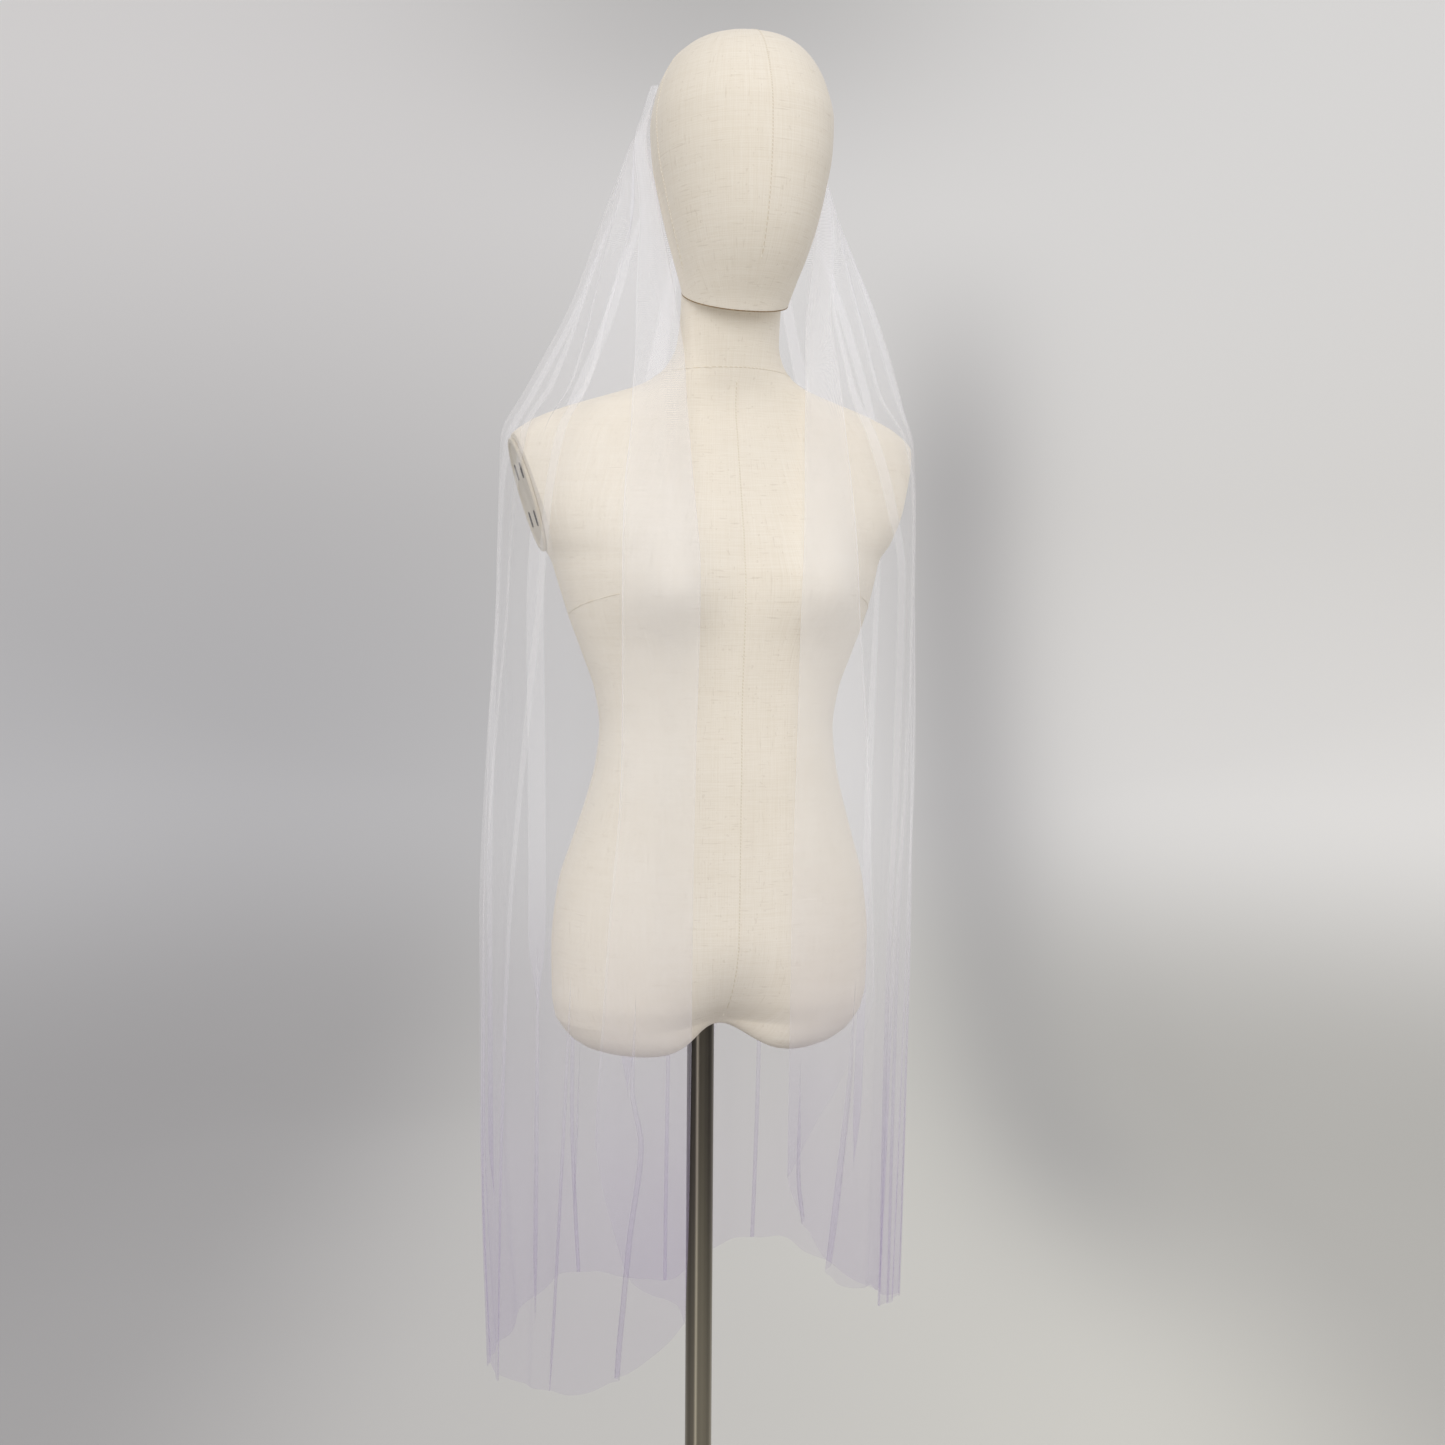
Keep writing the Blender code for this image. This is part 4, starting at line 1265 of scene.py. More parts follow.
@dataclass
class Comb:
    """Clear comb behind the crown: a spine and its teeth."""

    head: Head
    half_width: float = BAND_HALF
    teeth: int = 14
    top: float = VEIL_TOP + 0.001
    spine: float = 0.008
    length: float = 0.036
    clear: float = 0.0006
    thickness: float = 0.0014

    def line(self, xs: np.ndarray, heights: np.ndarray, clear: float) -> np.ndarray:
        """A line of points over the back of the crown."""
        ys = [float(self.head.crown(np.array(x), h, clear)) for x, h in zip(xs, heights)]
        return np.stack([xs, ys, heights], axis=-1)

    def build(self, clear_comb: bpy.types.Material) -> bpy.types.Object:
        """Build the comb as one joined piece.

        Args:
            clear_comb: its finish.

        Returns:
            The piece.
        """
        parts = []
        mid = self.clear + self.thickness / 2.0
        xs = np.linspace(-self.half_width, self.half_width, 90)
        for drop in np.linspace(0.0007, self.spine - 0.0007, 6):
            bar = self.line(xs, np.full_like(xs, self.top - drop), mid)
            parts.append(tube_points(bar, self.thickness / 2.0, 8))
        heights = np.linspace(self.top - self.spine * 0.6, self.top - self.length, 24)
        taper = self.thickness / 2.0 * np.linspace(1.0, 0.45, 24)
        for x in np.linspace(-self.half_width + 0.001, self.half_width - 0.001, self.teeth):
            parts.append(tube_points(self.line(np.full(24, x), heights, mid), taper, 8))
        points, faces = join_parts(parts)
        comb = mesh_piece("moulded_comb", points, faces, clear_comb)
        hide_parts("comb")
        return comb


@dataclass
class Binding:
    """Satin binding of the gathers, with its row of stitches."""

    head: Head
    half_width: float = BAND_HALF
    top: float = VEIL_TOP + 0.001
    height: float = 0.009
    clear: float = 0.0025
    thickness: float = 0.0012
    stitches: int = 42

    def build(self, satin: bpy.types.Material) -> bpy.types.Object:
        """Build the binding as a soft rounded strip with stitches.

        Args:
            satin: its finish.

        Returns:
            The piece.
        """
        xs = np.linspace(-self.half_width, self.half_width, 120)
        turn = np.arange(16) * 2.0 * pi / 16
        rows = []
        for x in xs:
            for a in turn:
                drop = self.height * (0.5 - 0.5 * np.sign(np.sin(a)) * abs(np.sin(a)) ** 0.6)
                out = self.clear + self.thickness * (0.5 + 0.5 * np.sign(np.cos(a)) * abs(np.cos(a)) ** 0.7)
                height = self.top - drop
                rows.append((x, float(self.head.crown(np.array(x), height, out)), height))
        parts = [(np.array(rows), closed_faces(len(xs), len(turn)))]
        for x in np.linspace(-self.half_width + 0.003, self.half_width - 0.003, self.stitches):
            path = []
            for height in self.top - np.linspace(0.0030, 0.0060, 5):
                face = float(self.head.crown(np.array(x), height, self.clear + self.thickness))
                path.append((x, face, height))
            parts.append(tube_points(np.array(path), 0.0002, 6))
        points, made = join_parts(parts)
        band = mesh_piece("satin_band", points, made, satin)
        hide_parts("gathering_band")
        return band


@dataclass(frozen=True)
class Pleat:
    """A knife pleat of the hanging cloth: three layers over a narrow band."""

    path: tuple[tuple[float, float], ...]  # heights, and shares of the width where it lies there
    half: float  # half width of the band, as a share
    lap: float  # share that is taken up in the layers
    lift: float  # how far its layers stand off
    top: float  # height where it starts
    bottom: float  # height where it has run out

    def centre(self, height: np.ndarray) -> np.ndarray:
        """Share of the width at a height."""
        rising = self.path[::-1]
        return monotone(height, [row[0] for row in rising], [row[1] for row in rising])


@dataclass
class Veil:
    """The veil: one sheet of tulle, gathered at the crown and turned back at both edges."""

    columns: int = 650
    rows: int = 150
    fold_round: float = 0.0040
    fold_round_least: float = 0.0025
    flap_lift: float = 0.0060
    gathers: int = 26
    gather_depth: float = 0.0018
    gather_end: float = 1.640
    sheet_width: float = 1.60
    fullness: float = 0.75
    ease: float = 0.30
    opening: tuple = ((1.280, 1.0), (1.450, 0.72), (1.600, 0.34), (VEIL_TOP, 0.06))  # height, share
    pleat_ease: float = 0.17
    pleat_end: float = 0.12
    levels: tuple = (
        VEIL_TOP, 1.690, 1.660, 1.600, 1.525, 1.450, 1.405, 1.355, 1.280, 1.120, 0.950, 0.750, 0.530,
    )
    # The lines down the cloth: each has its share of the width, then X and Y in mm at each level.
    key_lines: dict = field(default_factory=lambda: {
        "left fold": (FLAP_LEFT, (-66.5, -80), (-74.5, -82), (-78, -92), (-73, -119), (-60, -127),
                      (-51, -134), (-51, -147), (-52, -168), (-52, -193), (-56, -197), (-58, -197),
                      (-58, -192), (-62, -182)),
        "left bust": (0.112, (-63, -71.8), (-73, -73), (-88, -80), (-92, -98), (-92, -106), (-97, -119),
                      (-103, -138), (-110, -166), (-118, -198), (-123, -198), (-128, -192), (-136, -178),
                      (-146, -155)),
        "left shoulder front": (0.184, (-57, -61.3), (-70, -63), (-89, -68), (-107, -82), (-119, -90),
                                (-135, -101), (-159, -119), (-168, -130), (-174, -136), (-187, -130),
                                (-198, -118), (-202, -98), (-203, -78)),
        "left shoulder tip": (0.246, (-49, -51.3), (-64, -52), (-85, -53), (-111, -56), (-138, -47),
                              (-175, -34), (-197, -27), (-198, -28), (-198, -30), (-209, -32), (-217, -32),
                              (-217, -32), (-210, -34)),
        "left shoulder back": (0.342, (-30, -37.3), (-43, -34.5), (-60, -31), (-83, -22), (-107, -6),
                               (-138, 22), (-159, 38), (-168, 50), (-170, 62), (-168, 74), (-167, 80),
                               (-167, 80), (-154, 74)),
        "centre back": (0.500, (0, -31.0), (0, -24.0), (0, -17), (0, -3), (0, 20), (0, 43), (0, 55), (0, 68),
                        (0, 82), (0, 96), (0, 106), (0, 113), (0, 118)),
        "right shoulder back": (0.658, (30, -37.3), (43, -34.5), (60, -31), (84, -22), (109, -6), (141, 22),
                                (161, 38), (170, 50), (170, 62), (165, 75), (162, 84), (158, 90), (150, 94)),
        "right shoulder tip": (0.754, (49, -51.3), (64, -52), (88, -52), (118, -53), (161, -42),
                               (191, -29), (201, -27), (201, -29), (201, -30), (203, -32), (204, -32),
                               (201, -33), (195, -35)),
        "right shoulder front": (0.818, (57, -61.3), (70, -63), (92, -67), (109, -74), (118, -86),
                                 (134, -100), (157, -117), (166, -121), (168, -120), (168, -112), (164, -100),
                                 (162, -90), (159, -82)),
        "right bust": (0.886, (63, -71.8), (73, -73), (88, -79), (100, -86), (98, -92), (98, -116),
                       (103, -136), (108, -162), (112, -196), (108, -194), (106, -190), (107, -180),
                       (111, -160)),
        "right fold": (FLAP_RIGHT, (66.5, -80), (74.5, -82), (78, -86), (83, -83), (78, -76), (68, -106),
                       (60, -130), (52, -157), (41, -189), (36, -192), (33, -191), (34, -184), (45, -176)),
    })
    # Widths of the turned-back cloth in mm at each level.
    flap_widths: dict = field(default_factory=lambda: {
        "left": (5, 6, 9, 16, 33, 45, 51, 60, 68, 64, 72, 80, 80),
        "right": (5, 6, 9, 15, 24, 30, 36, 40, 45, 58, 68, 73, 73),
    })
    hem: tuple = (  # share of the width, height
        (0.000, 0.790), (0.004, 0.752), (0.012, 0.705), (0.021, 0.666), (0.034, 0.650), (0.050, 0.638),
        (0.055, 0.620), (0.068, 0.594), (0.090, 0.570), (0.112, 0.553), (0.150, 0.546), (0.200, 0.536),
        (0.246, 0.535), (0.300, 0.531), (0.345, 0.546), (0.395, 0.556), (0.450, 0.543), (0.490, 0.532),
        (0.560, 0.566), (0.610, 0.570), (0.650, 0.556), (0.720, 0.545), (0.760, 0.563), (0.818, 0.571),
        (0.845, 0.600), (0.870, 0.624), (0.905, 0.636), (0.925, 0.676), (0.945, 0.744), (0.962, 0.792),
        (0.980, 0.840), (0.996, 0.884), (1.000, 0.905),
    )
    folds: tuple = (  # share, half width and depth in mm, top, drift towards the hem
        (0.088, 13, 4, 1.20, -0.003), (0.128, 14, 5, 1.30, -0.006), (0.158, 11, 7, 1.25, -0.010),
        (0.196, 10, 6, 1.30, 0.000), (0.228, 9, 4, 1.30, 0.010), (0.258, 12, 5, 1.40, 0.000),
        (0.290, 20, 8, 1.45, -0.004), (0.336, 24, 10, 1.50, -0.006), (0.384, 24, 13, 1.50, 0.004),
        (0.430, 22, 12, 1.46, -0.004), (0.478, 24, 14, 1.50, 0.002), (0.526, 22, 12, 1.44, 0.004),
        (0.574, 24, 14, 1.50, -0.002), (0.622, 22, 12, 1.46, 0.002), (0.668, 22, 9, 1.48, 0.002),
        (0.712, 16, 7, 1.44, 0.004), (0.748, 9, 5, 1.40, 0.004), (0.788, 8, 6, 1.36, 0.006),
        (0.828, 8, 6, 1.30, 0.004), (0.880, 12, 4, 1.25, 0.004), (0.915, 9, 6, 1.05, 0.000),
        (0.936, 6, 3, 0.95, 0.000),
    )
    pleats: tuple = (
        Pleat(((1.72, 0.072), (1.30, 0.094), (0.84, 0.0935), (0.78, 0.0860), (0.70, 0.0900), (0.60, 0.0920)),
              0.0012, 0.0028, 0.0010, 0.98, 0.20),
        Pleat(((1.72, 0.081), (1.30, 0.132), (0.95, 0.130), (0.78, 0.1275), (0.62, 0.1235)),
              0.0008, 0.0019, 0.0008, 0.94, 0.66),
        Pleat(((1.72, 0.086), (1.30, 0.143), (0.95, 0.139), (0.74, 0.137), (0.60, 0.1365)),
              0.0012, 0.0028, 0.0010, 1.00, 0.48),
        Pleat(((1.72, 0.092), (1.30, 0.170), (0.95, 0.164), (0.85, 0.159), (0.72, 0.153), (0.62, 0.149)),
              0.0015, 0.0035, 0.0012, 1.02, 0.56),
        Pleat(((1.72, 0.098), (1.62, 0.104), (1.50, 0.168), (1.42, 0.181), (1.30, 0.188), (0.60, 0.192)),
              0.0042, 0.0094, 0.0016, 1.72, 0.30),
        Pleat(((1.72, 0.150), (1.62, 0.160), (1.55, 0.192), (1.42, 0.198), (1.30, 0.204), (0.60, 0.207)),
              0.0018, 0.0042, 0.0010, 1.72, 1.36),
        Pleat(((1.72, 0.180), (1.62, 0.186), (1.55, 0.210), (1.42, 0.217), (1.25, 0.232), (0.90, 0.228),
               (0.60, 0.238)), 0.0034, 0.0076, 0.0014, 1.72, 0.30),
        Pleat(((1.72, 0.300), (0.60, 0.296)), 0.0036, 0.0080, 0.0018, 1.71, 0.62),
        Pleat(((1.72, 0.372), (0.60, 0.368)), 0.0060, 0.0130, 0.0020, 1.71, 0.80),
        Pleat(((1.72, 0.412), (0.60, 0.404)), 0.0014, 0.0032, 0.0010, 1.00, 0.20),
        Pleat(((1.72, 0.452), (0.60, 0.456)), 0.0065, 0.0150, 0.0022, 1.71, 0.70),
        Pleat(((1.72, 0.500), (0.60, 0.494)), 0.0014, 0.0032, 0.0010, 0.96, 0.20),
        Pleat(((1.72, 0.540), (0.60, 0.536)), 0.0065, 0.0150, 0.0022, 1.71, 0.70),
        Pleat(((1.72, 0.584), (0.60, 0.588)), 0.0014, 0.0032, 0.0010, 1.02, 0.20),
        Pleat(((1.72, 0.622), (0.60, 0.626)), 0.0060, 0.0130, 0.0020, 1.71, 0.80),
        Pleat(((1.72, 0.696), (0.60, 0.692)), 0.0036, 0.0080, 0.0018, 1.71, 0.62),
        Pleat(((1.72, 0.790), (1.55, 0.778), (1.30, 0.774), (1.10, 0.768), (0.60, 0.760)),
              0.0034, 0.0076, 0.0014, 1.72, 0.30),
        Pleat(((1.72, 0.830), (1.60, 0.815), (1.50, 0.803), (1.42, 0.808), (1.30, 0.812), (0.60, 0.800)),
              0.0018, 0.0042, 0.0010, 1.72, 0.30),
        Pleat(((1.72, 0.905), (1.60, 0.898), (1.54, 0.886), (1.46, 0.864), (1.30, 0.860), (1.00, 0.850),
               (0.60, 0.836)), 0.0044, 0.0098, 0.0016, 1.72, 0.30),
        Pleat(((1.72, 0.916), (1.54, 0.904), (1.30, 0.892), (0.85, 0.900), (0.75, 0.907), (0.64, 0.918)),
              0.0016, 0.0036, 0.0010, 0.98, 0.20),
        Pleat(((1.72, 0.930), (1.30, 0.932), (0.75, 0.937), (0.69, 0.9325)),
              0.0010, 0.0023, 0.0008, 0.92, 0.20),
    )
    flat_height: float = 0.65

    def __post_init__(self) -> None:
        """Turn the tables round so that heights rise."""
        self.rising = np.array(self.levels[::-1])
        self.shares = np.array([line[0] for line in self.key_lines.values()])
        self.across = [[p[0] / 1000.0 for p in line[1:]][::-1] for line in self.key_lines.values()]
        self.depth = [[p[1] / 1000.0 for p in line[1:]][::-1] for line in self.key_lines.values()]

    def across_keys(self, share: np.ndarray, values: np.ndarray) -> np.ndarray:
        """Smooth curve through the key lines' values.

        Args:
            share: shares of the width.
            values: the key lines' values, a column for each share.

        Returns:
            The values at the shares.
        """
        shares = self.shares
        i = np.clip(np.searchsorted(shares, share, side="right") - 1, 0, len(shares) - 2)
        gap = np.diff(shares)
        slope = np.diff(values, axis=0) / gap[:, None]
        tangent = np.empty_like(values)
        tangent[0], tangent[-1] = slope[0], slope[-1]
        weight = (gap[1:] / (gap[:-1] + gap[1:]))[:, None]
        tangent[1:-1] = slope[:-1] * weight + slope[1:] * (1.0 - weight)
        column = np.arange(values.shape[1])
        h = gap[i]
        t = (share - shares[i]) / h
        ends = values[i, column], values[i + 1, column]
        return eased(t, h, ends, (tangent[i, column], tangent[i + 1, column]))

    def base(self, share: np.ndarray, height: np.ndarray) -> tuple[np.ndarray, np.ndarray]:
        """The section without folds.

        Args:
            share: shares of the width.
            height: heights.

        Returns:
            X and Y.
        """
        xs = np.array([monotone(height, self.rising, row) for row in self.across])
        ys = np.array([monotone(height, self.rising, row) for row in self.depth])
        return self.across_keys(share, xs), self.across_keys(share, ys)

    def outward(self, share: np.ndarray, height: np.ndarray) -> tuple[np.ndarray, np.ndarray]:
        """Outward direction of the section.

        Args:
            share: shares of the width.
            height: heights.

        Returns:
            X and Y of the unit direction.
        """
        step = 0.004
        ahead = np.clip(share + step, self.shares[0], self.shares[-1])
        behind = np.clip(share - step, self.shares[0], self.shares[-1])
        xa, ya = self.base(ahead, height)
        xb, yb = self.base(behind, height)
        dx, dy = xa - xb, ya - yb
        size = np.hypot(dx, dy)
        return -dy / size, dx / size

    def spread(self, height: np.ndarray) -> np.ndarray:
        """How far the gathered cloth has opened out."""
        return np.interp(height, [row[0] for row in self.opening], [row[1] for row in self.opening])

    def fold_depth(self, share: np.ndarray, height: np.ndarray) -> np.ndarray:
        """Outward swell of the folds and the gathers.

        Args:
            share: shares of the width.
            height: heights.

        Returns:
            How far the cloth swells out.
        """
        total = np.zeros_like(share)
        open_width = self.spread(height)
        for centre, half, deep, top, drift in self.folds:
            middle = centre + drift * np.clip((1.3 - height) / 0.75, 0.0, 1.0)
            grown = smooth_step((top - height) / self.ease)
            offset = (share - middle) * self.sheet_width * 1000.0 / half
            total += self.fullness * deep / 1000.0 * grown * open_width * np.exp(-offset * offset)
        phase = self.gathers * (share - FLAP_LEFT) / (FLAP_RIGHT - FLAP_LEFT)
        uneven = 0.65 + 0.35 * np.sin(phase * 1.31 + 2.0 * np.sin(phase * 0.37))
        gather = (0.5 - 0.5 * np.cos(2.0 * pi * phase)) * uneven
        fade = smooth_step((height - self.gather_end) / (VEIL_TOP - self.gather_end))
        return total + self.gather_depth * gather * fade

    def lapped(self, share: np.ndarray, height: np.ndarray) -> tuple[np.ndarray, np.ndarray]:
        """Where the pleats carry the cloth.

        Args:
            share: shares of the width.
            height: heights.

        Returns:
            The shifted shares and the layers' lift.
        """
        moved = share.copy()
        lift = np.zeros_like(share)
        for pleat in self.pleats:
            centre = pleat.centre(height)
            held = smooth_step((pleat.top - height) / self.pleat_ease)
            held = held * smooth_step((height - pleat.bottom) / self.pleat_end)
            t = (share - centre) / pleat.half
            near = np.exp((1.0 - t * t) / 2.0)
            moved -= pleat.lap * held * t * near
            lift += pleat.lift * held * (1.0 + np.tanh(1.5 * t)) * np.exp(-(t / 3.0) ** 2)
        return moved, lift

    def point(self, share: np.ndarray, height: np.ndarray) -> np.ndarray:
        """Points of the sheet.

        Args:
            share: shares of the width, 0 and 1 at the turned-back cut edges.
            height: heights.

        Returns:
            The points.
        """
        left = share < FLAP_LEFT
        right = share > FLAP_RIGHT
        turned = left | right
        part = np.where(left, (FLAP_LEFT - share) / FLAP_LEFT, 0.0)
        part = np.where(right, (share - FLAP_RIGHT) / (1.0 - FLAP_RIGHT), part)
        widths = {}
        for side, row in self.flap_widths.items():
            widths[side] = monotone(height, self.rising, row[::-1]) / 1000.0
        near_left = share < 0.5
        width = np.where(near_left, widths["left"], widths["right"])
        round_off = np.maximum(self.fold_round_least, self.fold_round * np.clip(width / 0.060, 0.0, 1.0))
        lx, ly = self.base(np.full_like(share, FLAP_LEFT), height)
        mx, my = self.base(np.full_like(share, self.shares[1]), height)
        rx, ry = self.base(np.full_like(share, FLAP_RIGHT), height)
        nx, ny = self.base(np.full_like(share, self.shares[-2]), height)
        rate_left = np.hypot(mx - lx, my - ly) / (self.shares[1] - FLAP_LEFT)
        rate_right = np.hypot(nx - rx, ny - ry) / (FLAP_RIGHT - self.shares[-2])
        rate = np.where(near_left, rate_left, rate_right)
        from_fold = np.where(near_left, share - FLAP_LEFT, FLAP_RIGHT - share) * rate
        away = np.where(turned, part * width, from_fold)
        under = np.where(near_left, FLAP_LEFT + away / rate, FLAP_RIGHT - away / rate)
        under = np.where(turned, under, share)
        lapped, lap_lift = self.lapped(under, height)
        under = np.where(turned, under, np.clip(lapped, FLAP_LEFT, FLAP_RIGHT))
        x, y = self.base(under, height)
        ox, oy = self.outward(under, height)
        short = np.clip(1.0 - away / round_off, 0.0, 1.0)
        turn = round_off * np.sqrt(1.0 - short * short)
        settle = 1.0 - smooth_step(away / (1.3 * width))
        lift = self.flap_lift * part * (0.35 + 0.65 * np.clip(width / 0.060, 0.0, 1.0))
        swell = self.fold_depth(np.where(turned, under, share), height)
        move = np.where(turned, turn + lift, lap_lift - turn * settle) + swell
        return np.stack([x + ox * move, y + oy * move, height], axis=-1)

    def column_shares(self) -> np.ndarray:
        """Shares of the columns, closer at the turned edges and the pleats.

        Returns:
            The shares, from 0 to 1.
        """
        fine = np.linspace(0.0, 1.0, 20001)
        density = np.ones_like(fine)
        for edge in (FLAP_LEFT, FLAP_RIGHT):
            density += 5.0 * np.exp(-((fine - edge) / 0.004) ** 2)
        for pleat in self.pleats:
            share = float(pleat.centre(np.array(self.flat_height)))
            density += 2.2 * np.exp(-((fine - share) / (2.2 * pleat.half)) ** 2)
        total = np.cumsum(density)
        total = (total - total[0]) / (total[-1] - total[0])
        return np.interp(np.linspace(0.0, 1.0, self.columns), total, fine)

    def follow(self, flat: np.ndarray, height: np.ndarray) -> np.ndarray:
        """Shares that keep the columns along the pleats.

        Args:
            flat: shares of the columns at flat_height.
            height: heights of the points.

        Returns:
            The shares at those heights.
        """
        low = np.array(self.flat_height)
        knots = [(0.0, np.zeros_like(height)), (FLAP_LEFT, np.full_like(height, FLAP_LEFT))]
        knots += [(float(pleat.centre(low)), pleat.centre(height)) for pleat in self.pleats]
        knots += [(FLAP_RIGHT, np.full_like(height, FLAP_RIGHT)), (1.0, np.ones_like(height))]
        share = flat.copy()
        for (start, first), (end, last) in zip(knots, knots[1:]):
            part = (flat - start) / (end - start)
            share = np.where((part >= 0.0) & (part <= 1.0), first + (last - first) * part, share)
        return share

    def build(self, tulle: bpy.types.Material) -> bpy.types.Object:
        """Build the sheet of tulle.

        Args:
            tulle: its finish.

        Returns:
            The piece.
        """
        shares = self.column_shares()
        hem = monotone(shares, [row[0] for row in self.hem], [row[1] for row in self.hem])
        drop = np.linspace(0.0, 1.0, self.rows) ** 1.12
        heights = VEIL_TOP + (hem[None, :] - VEIL_TOP) * drop[:, None]
        grid = self.follow(np.broadcast_to(shares[None, :], heights.shape).ravel(), heights.ravel())
        points = self.point(grid, heights.ravel())
        veil = mesh_piece("tulle_veil", points, grid_faces(self.rows, self.columns), tulle)
        veil.data.attributes.new(SHARE, "FLOAT", "POINT").data.foreach_set("value", grid)
        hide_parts("veil")
        return veil


# The studio.
@dataclass
class Studio:
    """Pale floor that curves up into a wall with painted light and shade, soft lights and the camera."""

    azimuth: float = radians(-15.0)
    distance: float = 1.65
    focal: float = 1696.0
    picture: float = 1445.0
    pitch: float = radians(3.8)
    roll: float = radians(0.4)
    eye: float = 1.247
    aside: float = 0.0195
    reach: float = 4.2
    curve: float = 1.6
    wall: float = 4.5

    def floor(self) -> bpy.types.Object:
        """The floor, curving up all round, with painted light and shade in its colour and a faint glow.

        Returns:
            The piece, which is stage only.
        """
        profile = [(0.0001, 0.0)] + [(r, 0.0) for r in np.linspace(0.3, self.reach - self.curve, 10)]
        for step in range(1, 25):
            a = pi / 2.0 * step / 24.0
            profile.append((self.reach - self.curve + self.curve * sin(a), self.curve * (1.0 - cos(a))))
        profile.append((self.reach, self.wall))
        sides = 96
        a = np.arange(sides) * 2.0 * pi / sides
        rows = [np.stack([r * np.cos(a), r * np.sin(a), np.full_like(a, z)], axis=-1) for r, z in profile]
        mesh = bpy.data.meshes.new("studio_floor")
        mesh.from_pydata(np.concatenate(rows).tolist(), [], grid_faces(len(rows), sides, closed=True))
        mesh.shade_smooth()
        material, g = new_material("studio_paint_and_painted_light")
        x, y, z = g.place()
        across = x * cos(self.azimuth) + y * sin(self.azimuth)
        # Painted light: the stage is darker to the left, lighter to the right, and lighter up the wall than
        # low down.
        side = across.ramp(-1.6, 1.6)
        cloud = g.noise((x * 0.8, y * 0.8, z * 0.8), 2.0, 0.5)
        low = g.blend(side, srgb(176, 174, 173), srgb(210, 208, 198))
        # Painted shade: darker low down towards both sides.
        corner = (across - 0.1).size().ramp(0.50, 1.15)
        low = g.blend(corner * 0.50, low, srgb(140, 138, 137))
        middle = g.blend(side, srgb(192, 191, 191), srgb(238, 236, 231))
        high = g.blend(side, srgb(236, 234, 232), srgb(246, 245, 242))
        colour = g.blend(z.ramp(0.0, 0.7), low, middle)
        colour = g.blend(z.ramp(0.8, 3.0), colour, high)
        # Painted shade: a darker patch high on the wall above the head.
        crown = 2.72 ** (-((across / 0.9) ** 2.0))
        colour = g.blend(crown * z.ramp(2.5, 3.4) * 0.40, colour, srgb(150, 149, 147))
        # Painted shadow of the form: a soft upright band on the wall behind its right side.
        band = ((across - 0.80) / 0.26) ** 2.0
        shade = (2.72 ** (-band)) * y.ramp(0.6, 2.0) * z.ramp(2.6, 1.6)
        colour = g.blend(shade * 0.42, colour, srgb(120, 119, 124))
        colour = g.blend(cloud * 0.06, colour, (1.0, 1.0, 1.0))
        # Painted light: the stage glows faintly in its own colour.
        g.coat({
            "Base Color": colour, "Roughness": 0.95, "Specular IOR Level": 0.1,
            "Emission Color": colour, "Emission Strength": 0.10,
        })
        mesh.materials.append(material)
        floor = bpy.data.objects.new("studio_floor", mesh)
        bpy.context.scene.collection.objects.link(floor)
        floor.visible_diffuse = False
        floor.visible_shadow = False
        return floor

    def light(self, name: str, spot: Point, aim: Point, size: float, power: float, tint: Colour) -> None:
        """One soft box.

        Args:
            name: its name.
            spot: where it stands.
            aim: what it points at.
            size: its side.
            power: its power in watts.
            tint: its colour.
        """
        data = bpy.data.lights.new(name, "AREA")
        data.shape = "SQUARE"
        data.size = size
        data.energy = power
        data.color = tint
        lamp = bpy.data.objects.new(name, data)
        lamp.location = spot
        lamp.rotation_euler = (Vector(aim) - Vector(spot)).to_track_quat("-Z", "Y").to_euler()
        lamp.visible_camera = False
        bpy.context.scene.collection.objects.link(lamp)

    def world(self) -> None:
        """Set up soft light from all round, dimmer where steel reflects it."""
        world = bpy.data.worlds.new("studio_air")
        world.use_nodes = True
        g = Graph(world.node_tree)
        glossy = g.add("ShaderNodeLightPath", out="Is Glossy Ray")
        spot = g.add("ShaderNodeTexCoord", out="Generated")
        rise = g.add("ShaderNodeSeparateXYZ", {}, [spot], out="Z")
        air = g.blend(rise.ramp(-0.7, 0.2), srgb(172, 169, 165), srgb(236, 236, 240))
        colour = g.blend(glossy, air, srgb(70, 68, 66))
        output = g.tree.nodes.new("ShaderNodeOutputWorld")
        back = g.add("ShaderNodeBackground", {}, {"Color": colour, "Strength": 0.80})
        g.tree.links.new(back.socket, output.inputs["Surface"])
        bpy.context.scene.world = world

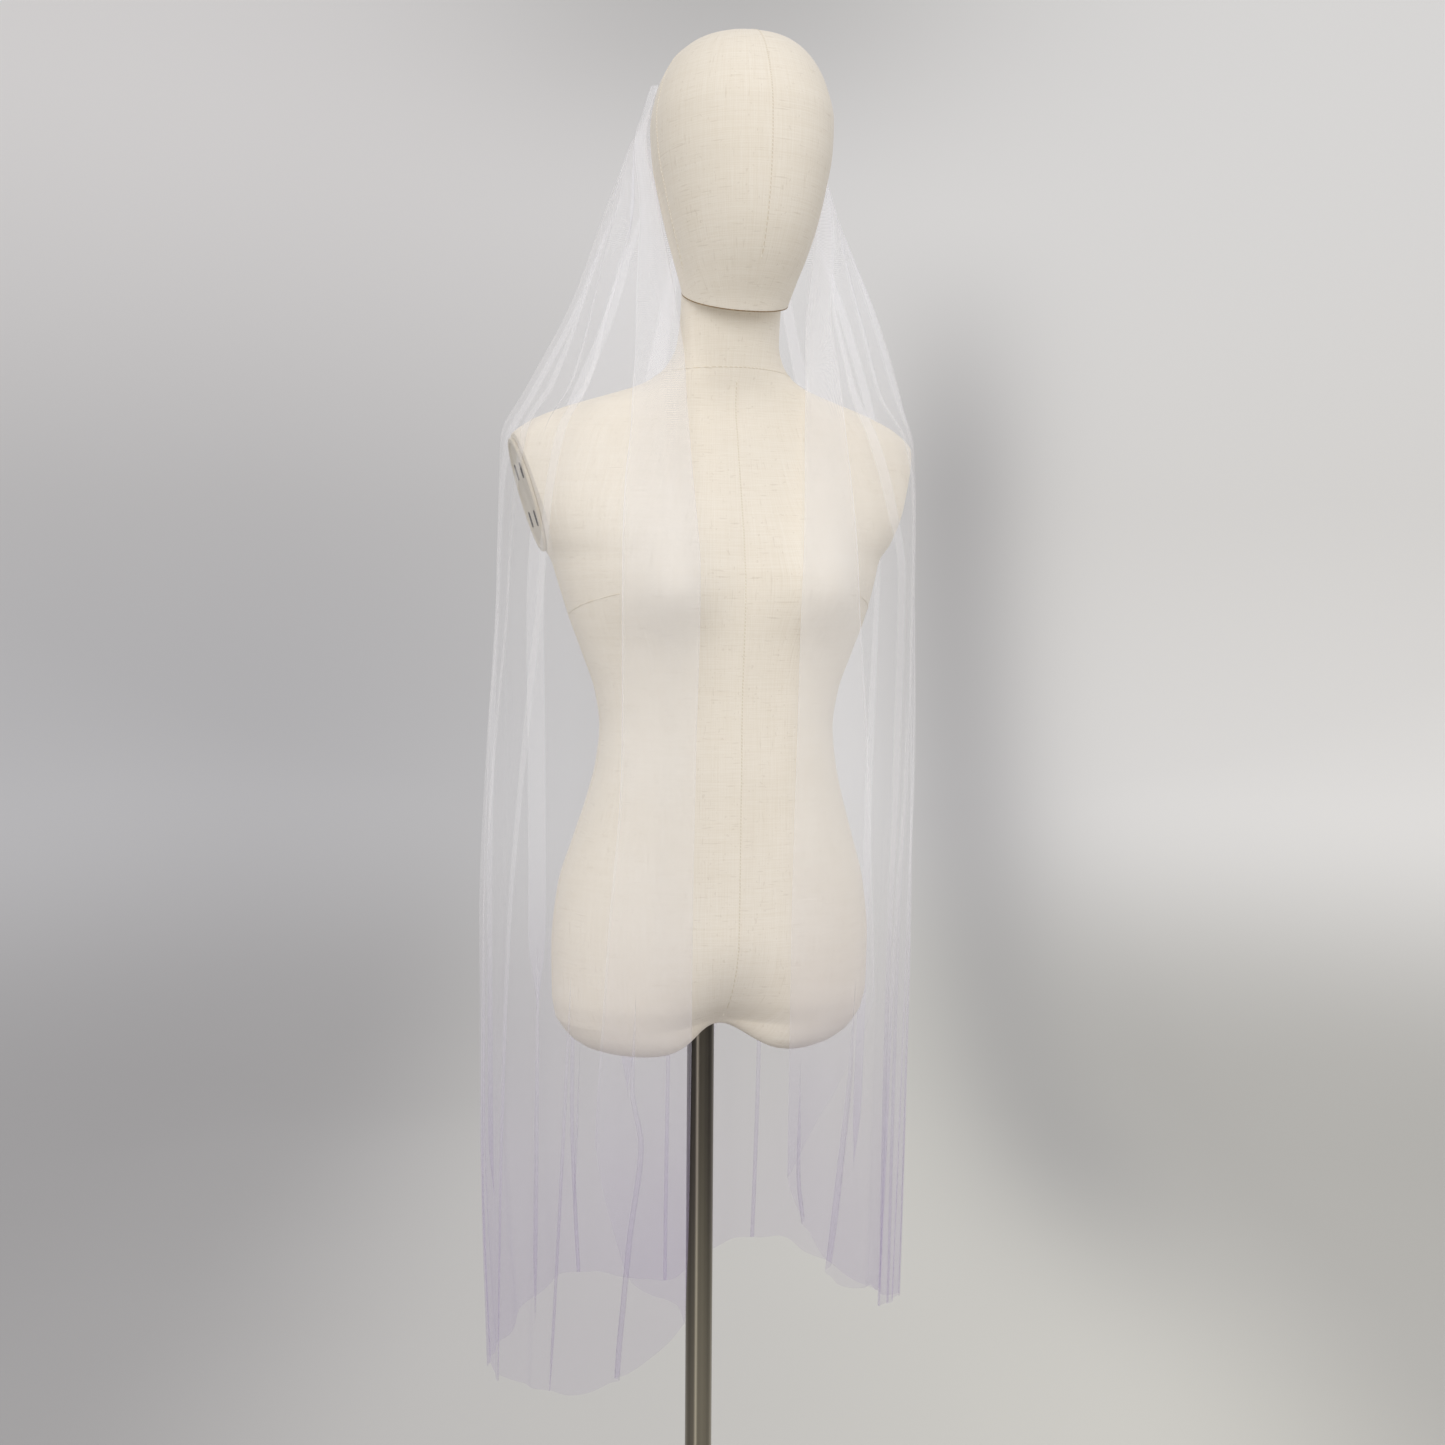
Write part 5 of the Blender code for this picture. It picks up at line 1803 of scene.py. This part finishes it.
    def camera(self) -> bpy.types.Object:
        """The camera, at the picture's place.

        Returns:
            The camera.
        """
        right = Vector((cos(self.azimuth), sin(self.azimuth), 0.0))
        back = Vector((sin(self.azimuth), -cos(self.azimuth), 0.0))
        spot = back * self.distance + right * self.aside
        spot.z = self.eye
        ahead = -back * cos(self.pitch) - Vector((0.0, 0.0, sin(self.pitch)))
        up = -back * sin(self.pitch) + Vector((0.0, 0.0, cos(self.pitch)))
        turned = right * cos(self.roll) + up * sin(self.roll)
        raised = up * cos(self.roll) - right * sin(self.roll)
        data = bpy.data.cameras.new("studio_camera")
        data.sensor_width = 36.0
        data.lens = 36.0 * self.focal / self.picture
        data.clip_start = 0.05
        camera = bpy.data.objects.new("studio_camera", data)
        camera.matrix_world = Matrix((
            (turned.x, raised.x, -ahead.x, spot.x),
            (turned.y, raised.y, -ahead.y, spot.y),
            (turned.z, raised.z, -ahead.z, spot.z),
            (0.0, 0.0, 0.0, 1.0),
        ))
        bpy.context.scene.collection.objects.link(camera)
        bpy.context.scene.camera = camera
        return camera

    def build(self) -> None:
        """Set up the floor, the lights, the air and the camera."""
        self.floor()
        self.light("key_box", (-1.1, -2.9, 2.5), (0.0, -0.05, 1.3), 2.0, 41.0, (1.0, 0.985, 0.96))
        self.light("fill_box", (2.6, -2.2, 2.0), (0.0, -0.05, 1.3), 2.2, 10.0, (0.98, 0.98, 1.0))
        self.light("rear_box", (0.8, 2.6, 2.6), (0.0, 0.0, 1.1), 2.0, 20.0, (1.0, 1.0, 1.0))
        self.world()
        self.camera()
        scene = bpy.context.scene
        scene.view_settings.view_transform = "Standard"
        scene.cycles.transparent_max_bounces = 64


def main() -> None:
    """Build the stand from the floor up, then the comb, the binding and the veil."""
    Studio().build()
    linen = LinenFinish().build()
    head_linen = LinenFinish(name="head_linen", middle=-0.12, girth=0.085).build()
    seam = SeamFinish().build()
    lacquer, slot = PlateFinish().build(), SlotShadowPaint().build()
    BasePlate().build(SteelFinish("base_steel", Grain.ROUND).build())
    # The pole's bright and dark colours are the light and dark of its painted reflection bands.
    Pole().build(SteelFinish("pole_steel", Grain.ALONG, srgb(222, 213, 192), srgb(38, 35, 33)).build())
    # Dark brown finish of the joint's line: a painted shadow of the gap between head and neck.
    thread_and_gap_shadow = SeamFinish(name="joint_gap_shadow", pale=srgb(176, 154, 122), deep=srgb(142, 118, 88)).build()
    Torso().build(linen, seam)
    head = Head()
    head.build(head_linen, seam, thread_and_gap_shadow)
    for node, side in (("arm_plate_right", -1.0), ("arm_plate_left", 1.0)):
        ArmPlate(node, side).build(lacquer, slot)
    Comb(head).build(CombFinish().build())
    Binding(head).build(RibbonFinish().build())
    Veil().build(TulleFinish().build())


if __name__ == "__main__":
    main()
